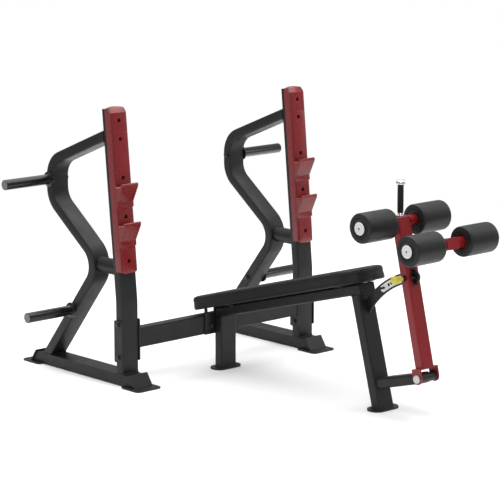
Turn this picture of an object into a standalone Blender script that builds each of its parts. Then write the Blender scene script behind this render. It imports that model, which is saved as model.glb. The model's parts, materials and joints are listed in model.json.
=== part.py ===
"""Olympic decline bench press: two bent uprights on a welded base, a padded bench and a hold-down for the legs.

Metres, +Z up, X across the uprights, -Y towards the foot end. Every size below is measured from the
bench's own zero: the middle of the bench in X, the front face of the uprights in Y and the floor in Z.
The empty bench_origin then shifts the whole object so that its footprint is centred on the world's origin.
"""

import math

import bmesh
import bpy
from mathutils import Matrix, Vector

# Gaps and common stock
GAP = 0.0003            # left between touching pieces
WALL = 0.003            # steel tube wall
TUBE_WIDE = 0.100       # frame tube, across X
TUBE_DEEP = 0.050       # frame tube, other side
TUBE_CORNER = 0.007
PLATE = 0.006           # thin steel plate
FLANGE = 0.008          # thick steel plate

# Side frames
FRAME_X = 0.586         # centre plane of each side frame
FOOT_SIZE = (0.150, 0.136, 0.008)
FOOT_HOLE = 0.006
FOOT_CORNER = 0.018
FOOT_REACH = {"front": 0.048, "rear": 0.051}    # how far a foot stands out past the base beam
BEAM_Z = (FOOT_SIZE[2] + GAP, 0.058)
BEAM_Y = (-0.0956, 0.7216)       # ends of the base at floor level, end plates included
END_SLOPE = math.radians(34)
END_PLATE_WIDE = 0.114
END_PLATE_TOP = 0.066
UPRIGHT_BEND_Z = 0.413
UPRIGHT_LEAN = math.radians(5.53)
UPRIGHT_LENGTH = 0.9325           # from the bend to the top, up its front face
S_TUBE_START_Z = 1.2095
S_TUBE_CORNERS = ((0.554, 1.039), (0.5525, 0.851), (0.184, 0.5745))
S_TUBE_END_Y = 0.6006
S_TUBE_BEND = 0.115
SPACER_R = 0.0385
SPACER_Z = 0.567

# Plate horns
HORN_R = 0.025
HORN_LENGTH = 0.275
HORN_FLANGE_R = 0.038
HORNS = {"upper": (0.5535, 0.950), "lower": (0.393, 0.317)}

# Moulded covers on the uprights, lengths measured up the slope from the bend
COVER_WIDE = 0.104
COVER_FRONT = 0.0165
COVER_BACK = -0.026
COVER_CORNER = 0.012
COVER_JOINTS = (0.136, 0.2553, 0.4429, 0.6308, 0.8187, 0.942)
COVER_NAMES = ("bottom_cover", "lower_hook", "upper_hook", "middle_cover", "top_cover")
COVER_HOLE_R = 0.0105
COVER_HOLE_AT = {"bottom_cover": 0.0652, "lower_hook": 0.1588, "upper_hook": 0.1582,
                 "middle_cover": 0.156, "top_cover": 0.0574}
COVER_BOW = 0.015                 # how far the bottom edge dips in the middle
# Height above the lower end, front face and half width where the bottom cover swells out of the tube
BOTTOM_SWELL = ((0.0, 0.006, 0.0515), (0.004, 0.0115, 0.0518), (0.010, 0.0150, 0.052), (0.020, COVER_FRONT, 0.052))
# Depth below the upper end, front face and half width where the top cover closes into a dome
TOP_DOME = ((0.031, COVER_FRONT, 0.052), (0.0240, 0.0125, 0.052), (0.0060, -0.0010, 0.0515),
            (0.0016, -0.0060, 0.0505), (0.0, -0.0120, 0.048))
DOME_BOW = -0.011                 # how far the dome falls away at its sides
LIP_HALF = 0.050

# Crossmember between the side frames
CROSS_Z = (0.177, 0.277)
CROSS_PLATE_Z = (0.117, 0.323)
CROSS_PLATE_Y = (-0.004, 0.055)
JOINT_PLATE_HALF = 0.112
JOINT_PLATE_TOP = 0.282
JOINT_EAR = 0.016

# Bench: a beam rising towards the foot end, on a short post and a slanted leg square to it
SLOPE = math.radians(15.4)
BENCH_START = (-0.0083, 0.3055)    # top line of the beam where it meets the joint plate
BENCH_LENGTH = 1.036
LEG_AT = 0.975
OVAL_FOOT = (0.170, 0.090, 0.008)
PAD_GAP = 0.005
PAD_THICK = 0.067
PAD_WIDE = 0.280
PAD_ENDS = (-0.0775, 1.0925)
PAD_CORNERS = (0.040, 0.105)
BOARD_THICK = 0.012
BOARD_INSET = 0.012
BRACKET_AT = {"pad_bracket_rear": 0.180, "pad_bracket_front": 0.968}
BRACKET_SIZE = (0.236, 0.034)

# Leg hold-down
PIVOT = (-1.400, 0.201)
ARM_LEAN = math.radians(13.7)     # from upright, towards the pad, in the first locking hole
ARM_WIDE = 0.077
ARM_DEEP = 0.050
ARM_BOTTOM = 0.047                # along the arm from the pivot
ARM_TOP_Z = 0.9225
LINK_WIDE = 0.080
PIVOT_TUBE_R = 0.021
PIVOT_TUBE_HALF = 0.0517
PIN_R = 0.010
PIN_CAP_R = 0.019
CLEVIS_HALF = 0.060
CLEVIS_R = 0.0265
BAR_R = 0.025
BAR_HALF = 0.268
REAR_BAR_AT = 0.7177
FRONT_BAR_AT = (0.5870, 0.2700)   # along the arm, out in front of it
BRACKET_DEEP = 0.046
ROLLER_R = 0.070
ROLLER_X = (0.082, 0.266)
ROLLER_ROUND = 0.012

# Locking sector and its pull pin
SECTOR_R = (0.4365, 0.4865)
SECTOR_HALF = 0.004
SECTOR_START = math.radians(6.0)
HOLE_STEP = math.radians(2.5)
HOLE_COUNT = 8
HOLE_R = 0.0065
LOCK_R = 0.4610
FRONT_STOP = math.radians(8.8)
REAR_STOP = math.radians(35.5)
STOP_R = 0.0055
SLOT_HALF = 0.008
SLOT_R = (0.4295, 0.4935)

FOOT_PRINT_Y = (FRONT_BAR_AT[0] * math.sin(ARM_LEAN) - FRONT_BAR_AT[1] * math.cos(ARM_LEAN)
                + PIVOT[0] - ROLLER_R, BEAM_Y[1] + FOOT_REACH["rear"])
SHIFT_Y = -sum(FOOT_PRINT_Y) / 2


# ---------------------------------------------------------------- scene and materials

def clear_scene():
    for item in list(bpy.data.objects):
        bpy.data.objects.remove(item, do_unlink=True)


def make_material(name, colour, roughness, metallic):
    material = bpy.data.materials.new(name)
    material.use_nodes = True
    shader = material.node_tree.nodes["Principled BSDF"]
    shader.inputs["Base Color"].default_value = (*colour, 1.0)
    shader.inputs["Roughness"].default_value = roughness
    shader.inputs["Metallic"].default_value = metallic
    material.diffuse_color = (*colour, 1.0)
    return material


def make_materials():
    return {
        "frame_paint": make_material("frame_paint", (0.035, 0.035, 0.036), 0.45, 0.0),
        "red_paint": make_material("red_paint", (0.26, 0.022, 0.027), 0.35, 0.0),
        "red_plastic": make_material("red_plastic", (0.25, 0.022, 0.027), 0.45, 0.0),
        "pad_vinyl": make_material("pad_vinyl", (0.016, 0.016, 0.016), 0.5, 0.0),
        "pad_board": make_material("pad_board", (0.05, 0.04, 0.03), 0.8, 0.0),
        "foam": make_material("foam", (0.028, 0.029, 0.029), 0.6, 0.0),
        "chrome": make_material("chrome", (0.75, 0.75, 0.75), 0.15, 1.0),
        "black_enamel": make_material("black_enamel", (0.012, 0.012, 0.012), 0.2, 0.0),
        "black_plastic": make_material("black_plastic", (0.02, 0.02, 0.02), 0.5, 0.0),
        "yellow_plastic": make_material("yellow_plastic", (0.6, 0.55, 0.04), 0.4, 0.0),
    }


MATERIALS = {}
PARENTS = {}


def make_empty(name, location, parent=None):
    empty = bpy.data.objects.new(name, None)
    empty.location = location
    empty.parent = parent
    bpy.context.scene.collection.objects.link(empty)
    return empty


def add_object(name, mesh_maker, material, parent="frame", smooth=False):
    """A new object of a finished bmesh, in bench coordinates, under the empty of its body."""
    bmesh.ops.remove_doubles(mesh_maker, verts=mesh_maker.verts, dist=1e-6)
    bmesh.ops.recalc_face_normals(mesh_maker, faces=mesh_maker.faces)
    holder = PARENTS[parent]
    offset = Vector(holder.location) if parent != "frame" else Vector((0, 0, 0))
    bmesh.ops.translate(mesh_maker, verts=mesh_maker.verts, vec=-offset)
    mesh = bpy.data.meshes.new(name)
    mesh_maker.to_mesh(mesh)
    mesh_maker.free()
    if smooth:
        mesh.shade_smooth()
        mesh.set_sharp_from_angle(angle=math.radians(35))
    item = bpy.data.objects.new(name, mesh)
    item.data.materials.append(MATERIALS[material])
    item.parent = holder
    bpy.context.scene.collection.objects.link(item)
    return item


def hide_cutter(cutter):
    cutter.hide_render = True
    cutter.display_type = "WIRE"


def apply_boolean(item, cutter, operation="DIFFERENCE"):
    boolean = item.modifiers.new(operation.lower() + "_" + cutter.name, "BOOLEAN")
    boolean.operation = operation
    boolean.solver = "EXACT"
    boolean.object = cutter
    hide_cutter(cutter)


# ---------------------------------------------------------------- outlines

def rounded_rect(half_u, half_v, radius, steps=2):
    """Points of a rectangle with round corners, anticlockwise; radius may be one value for each corner."""
    radii = radius if isinstance(radius, (tuple, list)) else (radius,) * 4
    points = []
    for quarter, (sign_u, sign_v) in enumerate(((1, 1), (-1, 1), (-1, -1), (1, -1))):
        corner = radii[quarter]
        for step in range(steps + 1):
            angle = math.pi / 2 * (quarter + step / steps)
            points.append((sign_u * (half_u - corner) + corner * math.cos(angle),
                           sign_v * (half_v - corner) + corner * math.sin(angle)))
    return points


def fillet_path(corners, radius, steps=6):
    """A line through the corners with each inner corner rounded to an arc of the radius."""
    path = [Vector(corners[0])]
    for before, corner, after in zip(corners, corners[1:], corners[2:]):
        corner = Vector(corner)
        back = (Vector(before) - corner).normalized()
        ahead = (Vector(after) - corner).normalized()
        half = back.angle(ahead) / 2
        centre = corner + (back + ahead).normalized() * radius / math.sin(half)
        start = corner + back * radius / math.tan(half) - centre
        sweep = math.pi - 2 * half
        turn = -1 if back.x * ahead.y - back.y * ahead.x > 0 else 1
        for step in range(steps + 1):
            angle = turn * sweep * step / steps
            cos, sin = math.cos(angle), math.sin(angle)
            path.append(centre + Vector((start.x * cos - start.y * sin, start.x * sin + start.y * cos)))
    path.append(Vector(corners[-1]))
    return path


def along_bench(distance, height):
    """Bench coordinates (y, z) of a point along the beam's top line and square above it."""
    return (BENCH_START[0] - distance * math.cos(SLOPE) + height * math.sin(SLOPE),
            BENCH_START[1] + distance * math.sin(SLOPE) + height * math.cos(SLOPE))


def along_upright(height, forward):
    """(y, z) of a point up the slanted part of an upright and out in front of its front face."""
    cos, sin = math.cos(UPRIGHT_LEAN), math.sin(UPRIGHT_LEAN)
    return (height * sin - forward * cos, UPRIGHT_BEND_Z + height * cos + forward * sin)


def along_arm(distance, forward=0.0):
    """(y, z) of a point along the hold-down arm from its pivot and out in front of its middle line."""
    cos, sin = math.cos(ARM_LEAN), math.sin(ARM_LEAN)
    return (PIVOT[0] + distance * sin - forward * cos, PIVOT[1] + distance * cos + forward * sin)


def on_sector(radius, angle):
    """(y, z) at a radius from the pivot and an angle from upright, towards the pad."""
    return (PIVOT[0] + radius * math.sin(angle), PIVOT[1] + radius * math.cos(angle))


# ---------------------------------------------------------------- solids

def add_ring(bm, points):
    return [bm.verts.new(point) for point in points]


def bridge(bm, ring_a, ring_b):
    for index in range(len(ring_a)):
        following = (index + 1) % len(ring_a)
        bm.faces.new((ring_a[index], ring_a[following], ring_b[following], ring_b[index]))


def tube_mesh(path, wide, deep, wall=WALL, corner=TUBE_CORNER, x=0.0, cuts=(None, None), closed_top=False):
    """A rectangular tube swept along a path in the YZ plane, mitred at its points.

    cuts give the direction of the saw cut at each end, and closed_top leaves a lid on the last end."""
    outer = rounded_rect(wide / 2, deep / 2, corner)
    inner = rounded_rect(wide / 2 - wall, deep / 2 - wall, corner - wall)
    path = [Vector(point) for point in path]
    ways = [(end - start).normalized() for start, end in zip(path, path[1:])]
    rings = []
    for index, point in enumerate(path):
        before, after = ways[max(index - 1, 0)], ways[min(index, len(ways) - 1)]
        side_before, side_after = Vector((-before.y, before.x)), Vector((-after.y, after.x))
        cut = (side_before + side_after).normalized()
        end = 0 if index == 0 else 1 if index == len(path) - 1 else None
        if end is not None and cuts[end] is not None:
            cut = Vector(cuts[end]).normalized()
        reach = cut / cut.dot(side_after)
        rings.append((point, reach))
    bm = bmesh.new()

    def ring_at(outline, point, reach, shift=Vector((0, 0))):
        return add_ring(bm, [(x + u, *(point + shift + reach * v)) for u, v in outline])

    outside = [ring_at(outer, point, reach) for point, reach in rings]
    lid = -ways[-1] * wall if closed_top else Vector((0, 0))
    inside = [ring_at(inner, point, reach, lid if number == len(rings) - 1 else Vector((0, 0)))
              for number, (point, reach) in enumerate(rings)]
    for rings_of_wall in (outside, inside):
        for ring_a, ring_b in zip(rings_of_wall, rings_of_wall[1:]):
            bridge(bm, ring_a, ring_b)
    bridge(bm, outside[0], inside[0])
    if closed_top:
        bm.faces.new(outside[-1])
        bm.faces.new(inside[-1])
    else:
        bridge(bm, outside[-1], inside[-1])
    return bm


def prism_mesh(outline, low, high, axis="x"):
    """An outline extruded along X (points are y, z), Y (x, z) or Z (x, y)."""
    places = {"x": lambda a, b, c: (c, a, b), "y": lambda a, b, c: (a, c, b), "z": lambda a, b, c: (a, b, c)}
    place = places[axis]
    bm = bmesh.new()
    bottom = add_ring(bm, [place(a, b, low) for a, b in outline])
    top = add_ring(bm, [place(a, b, high) for a, b in outline])
    bridge(bm, bottom, top)
    bm.faces.new(bottom)
    bm.faces.new(top)
    return bm


def turned_mesh(profile, centre, segments=24, axis="x"):
    """A closed profile of (along, radius) points turned about an axis through the centre."""
    bm = bmesh.new()
    columns = []
    for number in range(segments):
        angle = 2 * math.pi * number / segments
        column = []
        for along, radius in profile:
            across = (radius * math.cos(angle), radius * math.sin(angle))
            offset = (along, *across) if axis == "x" else (*across, along) if axis == "z" else \
                (across[0], along, across[1])
            column.append(bm.verts.new(Vector(centre) + Vector(offset)))
        columns.append(column)
    for column, following in zip(columns, columns[1:] + columns[:1]):
        for index in range(len(profile)):
            after = (index + 1) % len(profile)
            if profile[index][1] < 1e-6 and profile[after][1] < 1e-6:
                continue
            bm.faces.new((column[index], column[after], following[after], following[index]))
    bmesh.ops.remove_doubles(bm, verts=bm.verts, dist=1e-6)
    return bm


def tilt(bm, centre, angle):
    """Turns a mesh about an X axis line through (y, z) = centre; positive lifts -Y."""
    pivot = Vector((0, *centre))
    bmesh.ops.rotate(bm, verts=bm.verts, cent=pivot, matrix=Matrix.Rotation(-angle, 3, "X"))
    return bm


def round_cutter(name, centre, radius, half_length, axis="x", segments=12, parent="frame"):
    profile = ((-half_length, 0), (half_length, 0), (half_length, radius), (-half_length, radius))
    return add_object(name, turned_mesh(profile, centre, segments, axis), "chrome", parent)


# ---------------------------------------------------------------- side frames

def build_base(side, x):
    """The base beam: a rectangular tube with a slanted end plate welded on at each end."""
    low, high = BEAM_Z
    lean = math.tan(END_SLOPE)
    ends = []
    for y_floor, inward in ((BEAM_Y[0], 1), (BEAM_Y[1], -1)):
        across = inward * PLATE / math.cos(END_SLOPE)
        ends.append([(y_floor, low), (y_floor + across, low),
                     (y_floor + across + inward * lean * (high - low), high),
                     (y_floor + inward * lean * (END_PLATE_TOP - low), END_PLATE_TOP)])
    front, rear = ends
    beam = prism_mesh([front[1], rear[1], rear[2], front[2]], x - TUBE_WIDE / 2, x + TUBE_WIDE / 2)
    beam = add_object(side + "_base_beam", beam, "frame_paint")
    inner_low, inner_high = low + WALL, high - WALL
    inset = PLATE + WALL
    cavity = [(front[1][0] + inset, inner_low), (rear[1][0] - inset, inner_low),
              (rear[2][0] - inset, inner_high), (front[2][0] + inset, inner_high)]
    half = TUBE_WIDE / 2 - WALL
    cavity = add_object(side + "_beam_cavity", prism_mesh(cavity, x - half, x + half), "chrome")
    vent = round_cutter(side + "_beam_vent", (x, sum(BEAM_Y) / 2, low), 0.006, 0.010, "z", 8)
    for name, (near, inner, top_in, top_out) in (("front", front), ("rear", rear)):
        inward = 1 if name == "front" else -1
        top_back = (top_out[0] + inward * PLATE / math.cos(END_SLOPE), END_PLATE_TOP)
        overlap = inward * 0.001
        plate = prism_mesh([near, (inner[0] + overlap, low), (top_back[0] + overlap, END_PLATE_TOP), top_out],
                           x - END_PLATE_WIDE / 2, x + END_PLATE_WIDE / 2)
        plate = add_object(side + "_" + name + "_end_plate", plate, "frame_paint")
        apply_boolean(beam, plate, "UNION")
    apply_boolean(beam, cavity)
    apply_boolean(beam, vent)


def build_feet(side, x):
    """Anchor plates under each end of the base, with four bolt holes each."""
    wide, long, thick = FOOT_SIZE
    outline = rounded_rect(wide / 2, long / 2, FOOT_CORNER)
    centres = {"front": BEAM_Y[0] - FOOT_REACH["front"] + long / 2, "rear": BEAM_Y[1] + FOOT_REACH["rear"] - long / 2}
    for name, y in centres.items():
        foot = prism_mesh([(x + u, y + v) for u, v in outline], 0.0, thick, "z")
        foot = add_object(side + "_" + name + "_foot", foot, "frame_paint")
        end = -1 if name == "front" else 1
        for number, across in enumerate((-1, 1)):
            place = (x + across * (wide / 2 - 0.020), y + end * (long / 2 - 0.020), thick / 2)
            hole = round_cutter(f"{side}_{name}_anchor_{number}", place, FOOT_HOLE, thick, "z", 10)
            apply_boolean(foot, hole)


def upright_path():
    half = TUBE_DEEP / 2
    bend = Vector((half, UPRIGHT_BEND_Z))
    length = UPRIGHT_LENGTH - half * math.sin(UPRIGHT_LEAN)
    top = bend + Vector((math.sin(UPRIGHT_LEAN), math.cos(UPRIGHT_LEAN))) * length
    return fillet_path([(half, BEAM_Z[1] + GAP), bend, top], 0.30, 3)


def build_upright(side, x):
    add_object(side + "_upright", tube_mesh(upright_path(), TUBE_WIDE, TUBE_DEEP, x=x, closed_top=True),
               "frame_paint")


def s_tube_corners():
    """The S tube's middle line, from the back of the upright down to the top of the base beam."""
    cos, sin = math.cos(UPRIGHT_LEAN), math.sin(UPRIGHT_LEAN)
    rise = (S_TUBE_START_Z - UPRIGHT_BEND_Z) / cos
    start_y = TUBE_DEEP / cos + rise * sin + GAP * 2
    return [(start_y, S_TUBE_START_Z), *S_TUBE_CORNERS, (S_TUBE_END_Y, BEAM_Z[1] + GAP)]


def build_s_tube(side, x):
    corners = s_tube_corners()
    back_of_upright = (-math.sin(UPRIGHT_LEAN), -math.cos(UPRIGHT_LEAN))
    path = fillet_path(corners, S_TUBE_BEND)
    start_cut = Vector(back_of_upright)
    first = (path[1] - path[0]).normalized()
    if start_cut.dot(Vector((-first.y, first.x))) < 0:
        start_cut.negate()
    last = (path[-1] - path[-2]).normalized()
    end_cut = Vector((1, 0)) if Vector((1, 0)).dot(Vector((-last.y, last.x))) > 0 else Vector((-1, 0))
    add_object(side + "_s_tube", tube_mesh(path, TUBE_WIDE, TUBE_DEEP, x=x, cuts=(start_cut, end_cut)),
               "frame_paint")


def bend_centre():
    """(y, z) of the middle of the S tube's bend beside the upright."""
    _, _, before, corner, after = (Vector(point) for point in s_tube_corners())
    back, ahead = (before - corner).normalized(), (after - corner).normalized()
    return corner + (back + ahead).normalized() * S_TUBE_BEND / math.sin(back.angle(ahead) / 2)


def build_spacer(side, x):
    """A round tube from the back of the upright to the S tube, coped to the bend."""
    cos, sin = math.cos(UPRIGHT_LEAN), math.sin(UPRIGHT_LEAN)
    middle = bend_centre()
    start = TUBE_DEEP / cos + (SPACER_Z - UPRIGHT_BEND_Z) / cos * sin
    end = middle.x - S_TUBE_BEND - TUBE_DEEP / 2 + 0.012
    inner = SPACER_R - WALL
    profile = ((start - 0.010, inner), (end, inner), (end, SPACER_R), (start - 0.010, SPACER_R))
    spacer = add_object(side + "_spacer", turned_mesh(profile, (x, 0, SPACER_Z), 24, "y"), "frame_paint",
                        smooth=True)
    bend = round_cutter(side + "_bend_cope", (x, *middle), S_TUBE_BEND + TUBE_DEEP / 2 + 0.0006,
                        TUBE_WIDE, "x", 96)
    apply_boolean(spacer, bend)
    back = [along_upright(height, -TUBE_DEEP - GAP + forward)
            for height, forward in ((0.05, 0.04), (0.25, 0.04), (0.25, 0), (0.05, 0))]
    face = add_object(side + "_upright_cope", prism_mesh(back, x - TUBE_WIDE, x + TUBE_WIDE), "chrome")
    apply_boolean(spacer, face)


def build_horns(side, x):
    """Plate horns: capped tubes with a welded flange, standing out from the S tube's outer face."""
    out = -1 if side == "left" else 1
    face = x + out * (TUBE_WIDE / 2 + GAP)
    inner = HORN_R - WALL
    profile = [(0, inner), (0, HORN_FLANGE_R - 0.001), (0.001, HORN_FLANGE_R), (0.008, HORN_FLANGE_R),
               (0.008, HORN_R), (HORN_LENGTH - 0.003, HORN_R), (HORN_LENGTH, HORN_R - 0.003),
               (HORN_LENGTH, 0), (HORN_LENGTH - WALL, 0), (HORN_LENGTH - WALL, inner)]
    profile = [(out * along, radius) for along, radius in profile]
    for name, (y, z) in HORNS.items():
        add_object(f"{side}_{name}_horn", turned_mesh(profile, (face, y, z), 20), "black_enamel", smooth=True)


def cover_outline(front=COVER_FRONT, half=COVER_WIDE / 2, hollow=True):
    """C section that hugs the front of the upright, or the same without its hollow: points of (x, forward)."""
    outline = [(half, COVER_BACK)]
    for sign, start in ((1, 0.0), (-1, math.pi / 2)):
        for step in range(4):
            angle = start + math.pi / 2 * step / 3
            outline.append((sign * (half - COVER_CORNER) + COVER_CORNER * math.cos(angle),
                            front - COVER_CORNER + COVER_CORNER * math.sin(angle)))
    outline.append((-half, COVER_BACK))
    if hollow:
        inner = TUBE_WIDE / 2 + GAP
        outline += [(-inner, COVER_BACK), (-inner, GAP), (inner, GAP), (inner, COVER_BACK)]
    return outline


def slanted_loft(levels, x):
    """A skin through (height, outline) levels up the slanted part of an upright; outlines are (x, forward)."""
    bm = bmesh.new()
    rings = [add_ring(bm, [(x + u, *along_upright(height, forward)) for u, forward in outline])
             for height, outline in levels]
    for ring_a, ring_b in zip(rings, rings[1:]):
        bridge(bm, ring_a, ring_b)
    bm.faces.new(rings[0])
    bm.faces.new(rings[-1])
    return bm


def lip_outline(base):
    """Side profile of a bar hook above its segment's lower end: points of (forward, height)."""
    front = COVER_FRONT
    points = [(front - 0.003, 0.016), (front + 0.003, 0.016), (front + 0.003, 0.042), (0.0645, 0.116),
              (0.0650, 0.126), (0.0625, 0.1300), (0.0580, 0.1315), (0.0535, 0.1290)]
    for step in range(6):
        angle = math.radians(200 + 140 * step / 5)
        points.append((0.0350 - 0.0185 * math.cos(angle), 0.1200 + 0.0130 * math.sin(angle)))
    points.append((front - 0.003, 0.1200))
    return [along_upright(base + height, forward) for forward, height in points]


def arch_cutter(name, base, x, bow, reach):
    """What lies beyond an arched edge: bow is how far its sides lie from base, reach where the cutter ends."""
    half = COVER_WIDE / 2 + 0.004
    outline = [(half, reach)]
    outline += [(half * (1 - step / 6), bow * (1 - step / 6) ** 2) for step in range(13)]
    outline.append((-half, reach))
    bm = bmesh.new()
    rings = [add_ring(bm, [(x + u, *along_upright(base + height, forward)) for u, height in outline])
             for forward in (COVER_BACK - 0.01, COVER_FRONT + 0.01)]
    bridge(bm, *rings)
    for ring in rings:
        bm.faces.new(ring)
    return add_object(name, bm, "chrome")


def build_covers(side, x):
    """Five moulded segments up the front of each upright; two of them carry a bar hook."""
    outline = cover_outline()
    for name, low, high in zip(COVER_NAMES, COVER_JOINTS, COVER_JOINTS[1:]):
        node = f"{side}_{name}"
        levels = [(low, outline), (high - GAP * 2, outline)]
        if name == "bottom_cover":
            levels = [(low + rise, cover_outline(front, half)) for rise, front, half in BOTTOM_SWELL] + levels[1:]
        if name == "top_cover":
            levels = [(low, outline), (high - TOP_DOME[0][0] + 0.002, outline)]
        cover = add_object(node, slanted_loft(levels, x), "red_plastic")
        if name == "bottom_cover":
            apply_boolean(cover, arch_cutter(node + "_bow", low, x, COVER_BOW, -0.02))
        if "hook" in name:
            lip = prism_mesh(lip_outline(low), x - LIP_HALF, x + LIP_HALF)
            apply_boolean(cover, add_object(node + "_lip", lip, "red_plastic"), "UNION")
        if name == "top_cover":
            levels = [(high - depth, cover_outline(front, half, False)) for depth, front, half in TOP_DOME]
            dome = add_object(node + "_dome", slanted_loft(levels, x), "red_plastic")
            inner = TUBE_WIDE / 2 + GAP
            tube = [(inner, -TUBE_DEEP), (inner, GAP), (-inner, GAP), (-inner, -TUBE_DEEP)]
            tube = slanted_loft([(low, tube), (UPRIGHT_LENGTH + GAP, tube)], x)
            apply_boolean(cover, dome, "UNION")
            apply_boolean(cover, arch_cutter(node + "_bow", high, x, DOME_BOW, 0.02))
            apply_boolean(cover, add_object(node + "_tube_space", tube, "chrome"))
        place = along_upright(low + COVER_HOLE_AT[name], COVER_FRONT / 2)
        hole = turned_mesh(((-0.020, 0), (0.020, 0), (0.020, COVER_HOLE_R), (-0.020, COVER_HOLE_R)),
                           (x, *place), 12, "y")
        hole = add_object(node + "_hole", tilt(hole, place, -UPRIGHT_LEAN), "chrome")
        apply_boolean(cover, hole)


def build_backing_plate(side, x):
    out = -1 if side == "left" else 1
    face = x + out * (TUBE_WIDE / 2 + GAP)
    low, high = sorted((face, face + out * PLATE))
    half = ((CROSS_PLATE_Y[1] - CROSS_PLATE_Y[0]) / 2, (CROSS_PLATE_Z[1] - CROSS_PLATE_Z[0]) / 2)
    middle = (sum(CROSS_PLATE_Y) / 2, sum(CROSS_PLATE_Z) / 2)
    outline = [(middle[0] + u, middle[1] + v) for u, v in rounded_rect(*half, 0.006)]
    add_object(side + "_backing_plate", prism_mesh(outline, low, high), "frame_paint")


# ---------------------------------------------------------------- crossmember and bench

def build_crossmember():
    """A rectangular tube between the uprights, with a bolting flange welded on each end."""
    reach = FRAME_X - TUBE_WIDE / 2 - GAP
    depth, height = TUBE_DEEP / 2, (CROSS_Z[1] - CROSS_Z[0]) / 2
    centre = (depth, sum(CROSS_Z) / 2)
    section = [(centre[0] + u, centre[1] + v) for u, v in rounded_rect(depth, height, TUBE_CORNER)]
    cross = add_object("crossmember", prism_mesh(section, -reach + 0.001, reach - 0.001), "frame_paint")
    half = ((CROSS_PLATE_Y[1] - CROSS_PLATE_Y[0]) / 2, (CROSS_PLATE_Z[1] - CROSS_PLATE_Z[0]) / 2)
    middle = (sum(CROSS_PLATE_Y) / 2, sum(CROSS_PLATE_Z) / 2)
    outline = [(middle[0] + u, middle[1] + v) for u, v in rounded_rect(*half, 0.006)]
    for side, out in (("left", -1), ("right", 1)):
        low, high = sorted((out * reach, out * (reach - FLANGE)))
        flange = add_object(side + "_cross_flange", prism_mesh(outline, low, high), "frame_paint")
        apply_boolean(cross, flange, "UNION")
    inner = rounded_rect(depth - WALL, height - WALL, TUBE_CORNER - WALL)
    bore = prism_mesh([(centre[0] + u, centre[1] + v) for u, v in inner], -reach - 0.01, reach + 0.01)
    apply_boolean(cross, add_object("cross_bore", bore, "chrome"))


def build_joint_plate():
    """The plate that bolts the bench to the crossmember, with a tongue for the beam and two pad ears."""
    half, top, ear = JOINT_PLATE_HALF, JOINT_PLATE_TOP, JOINT_EAR
    tongue = TUBE_WIDE / 2 + 0.002
    tongue_top = BENCH_START[1] + 0.001
    pad_under = along_bench(0, PAD_GAP)[1] - 0.002
    right = [(half, CROSS_Z[0]), (half, pad_under), (half - ear, pad_under), (half - ear, top),
             (tongue, top), (tongue, tongue_top)]
    outline = right + [(-u, v) for u, v in reversed(right)]
    add_object("joint_plate", prism_mesh(outline, -0.0080, -GAP, "y"), "frame_paint")


def build_oval_foot(name, y):
    wide, long, thick = OVAL_FOOT
    outline = rounded_rect(wide / 2, long / 2, long / 2 - 0.002, 5)
    add_object(name, prism_mesh([(u, y + v) for u, v in outline], 0.0, thick, "z"), "frame_paint")


def build_bench_frame():
    """The sloping beam with its end cap, the short post under its head end and the slanted leg."""
    half = TUBE_DEEP / 2
    up = (-math.sin(SLOPE), -math.cos(SLOPE))
    start, end = along_bench(0, -half), along_bench(BENCH_LENGTH, -half)
    beam = tube_mesh([start, end], TUBE_WIDE, TUBE_DEEP, cuts=((0, -1), None))
    add_object("bench_beam", beam, "frame_paint")
    outline = rounded_rect(TUBE_DEEP / 2, TUBE_WIDE / 2, TUBE_CORNER)
    cap = bmesh.new()
    rings = [add_ring(cap, [(v, *along_bench(BENCH_LENGTH + offset, -half + u)) for u, v in outline])
             for offset in (GAP, 0.004)]
    bridge(cap, *rings)
    for ring in rings:
        cap.faces.new(ring)
    add_object("beam_end_cap", cap, "black_plastic")

    post_y = BENCH_START[0] - half
    foot_top = OVAL_FOOT[2] + GAP
    rise = BENCH_START[1] - (half - GAP) * -math.tan(SLOPE) - TUBE_DEEP / math.cos(SLOPE) - 2 * GAP
    beam_under = Vector((-math.cos(SLOPE), math.sin(SLOPE)))
    post = tube_mesh([(post_y, foot_top), (post_y, rise)], TUBE_WIDE, TUBE_DEEP, cuts=(None, beam_under))
    add_object("short_post", post, "frame_paint")
    build_oval_foot("post_foot", post_y)

    top = Vector(along_bench(LEG_AT + half, -TUBE_DEEP - GAP))
    length = (top.y - foot_top) / math.cos(SLOPE)
    bottom = top + Vector(up) * length
    leg = tube_mesh([bottom, top], TUBE_WIDE, TUBE_DEEP, cuts=((-1, 0), None))
    add_object("slanted_leg", leg, "frame_paint")
    build_oval_foot("leg_foot", bottom.x)


def pad_outline(inset=0.0):
    """Plan of the pad as points of (x, distance along the bench)."""
    low, high = PAD_ENDS
    half_long, middle = (high - low) / 2 - inset, (low + high) / 2
    head, foot = (max(corner - inset, 0.01) for corner in PAD_CORNERS)
    outline = rounded_rect(PAD_WIDE / 2 - inset, half_long, (foot, foot, head, head), 6)
    return [(u, middle + v) for u, v in outline]


def slab_mesh(outline, low, high):
    """An outline of (x, distance along the bench) between two heights above the beam's top line."""
    bm = bmesh.new()
    rings = [add_ring(bm, [(u, *along_bench(along, height)) for u, along in outline]) for height in (low, high)]
    bridge(bm, *rings)
    for ring in rings:
        bm.faces.new(ring)
    return bm


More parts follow.
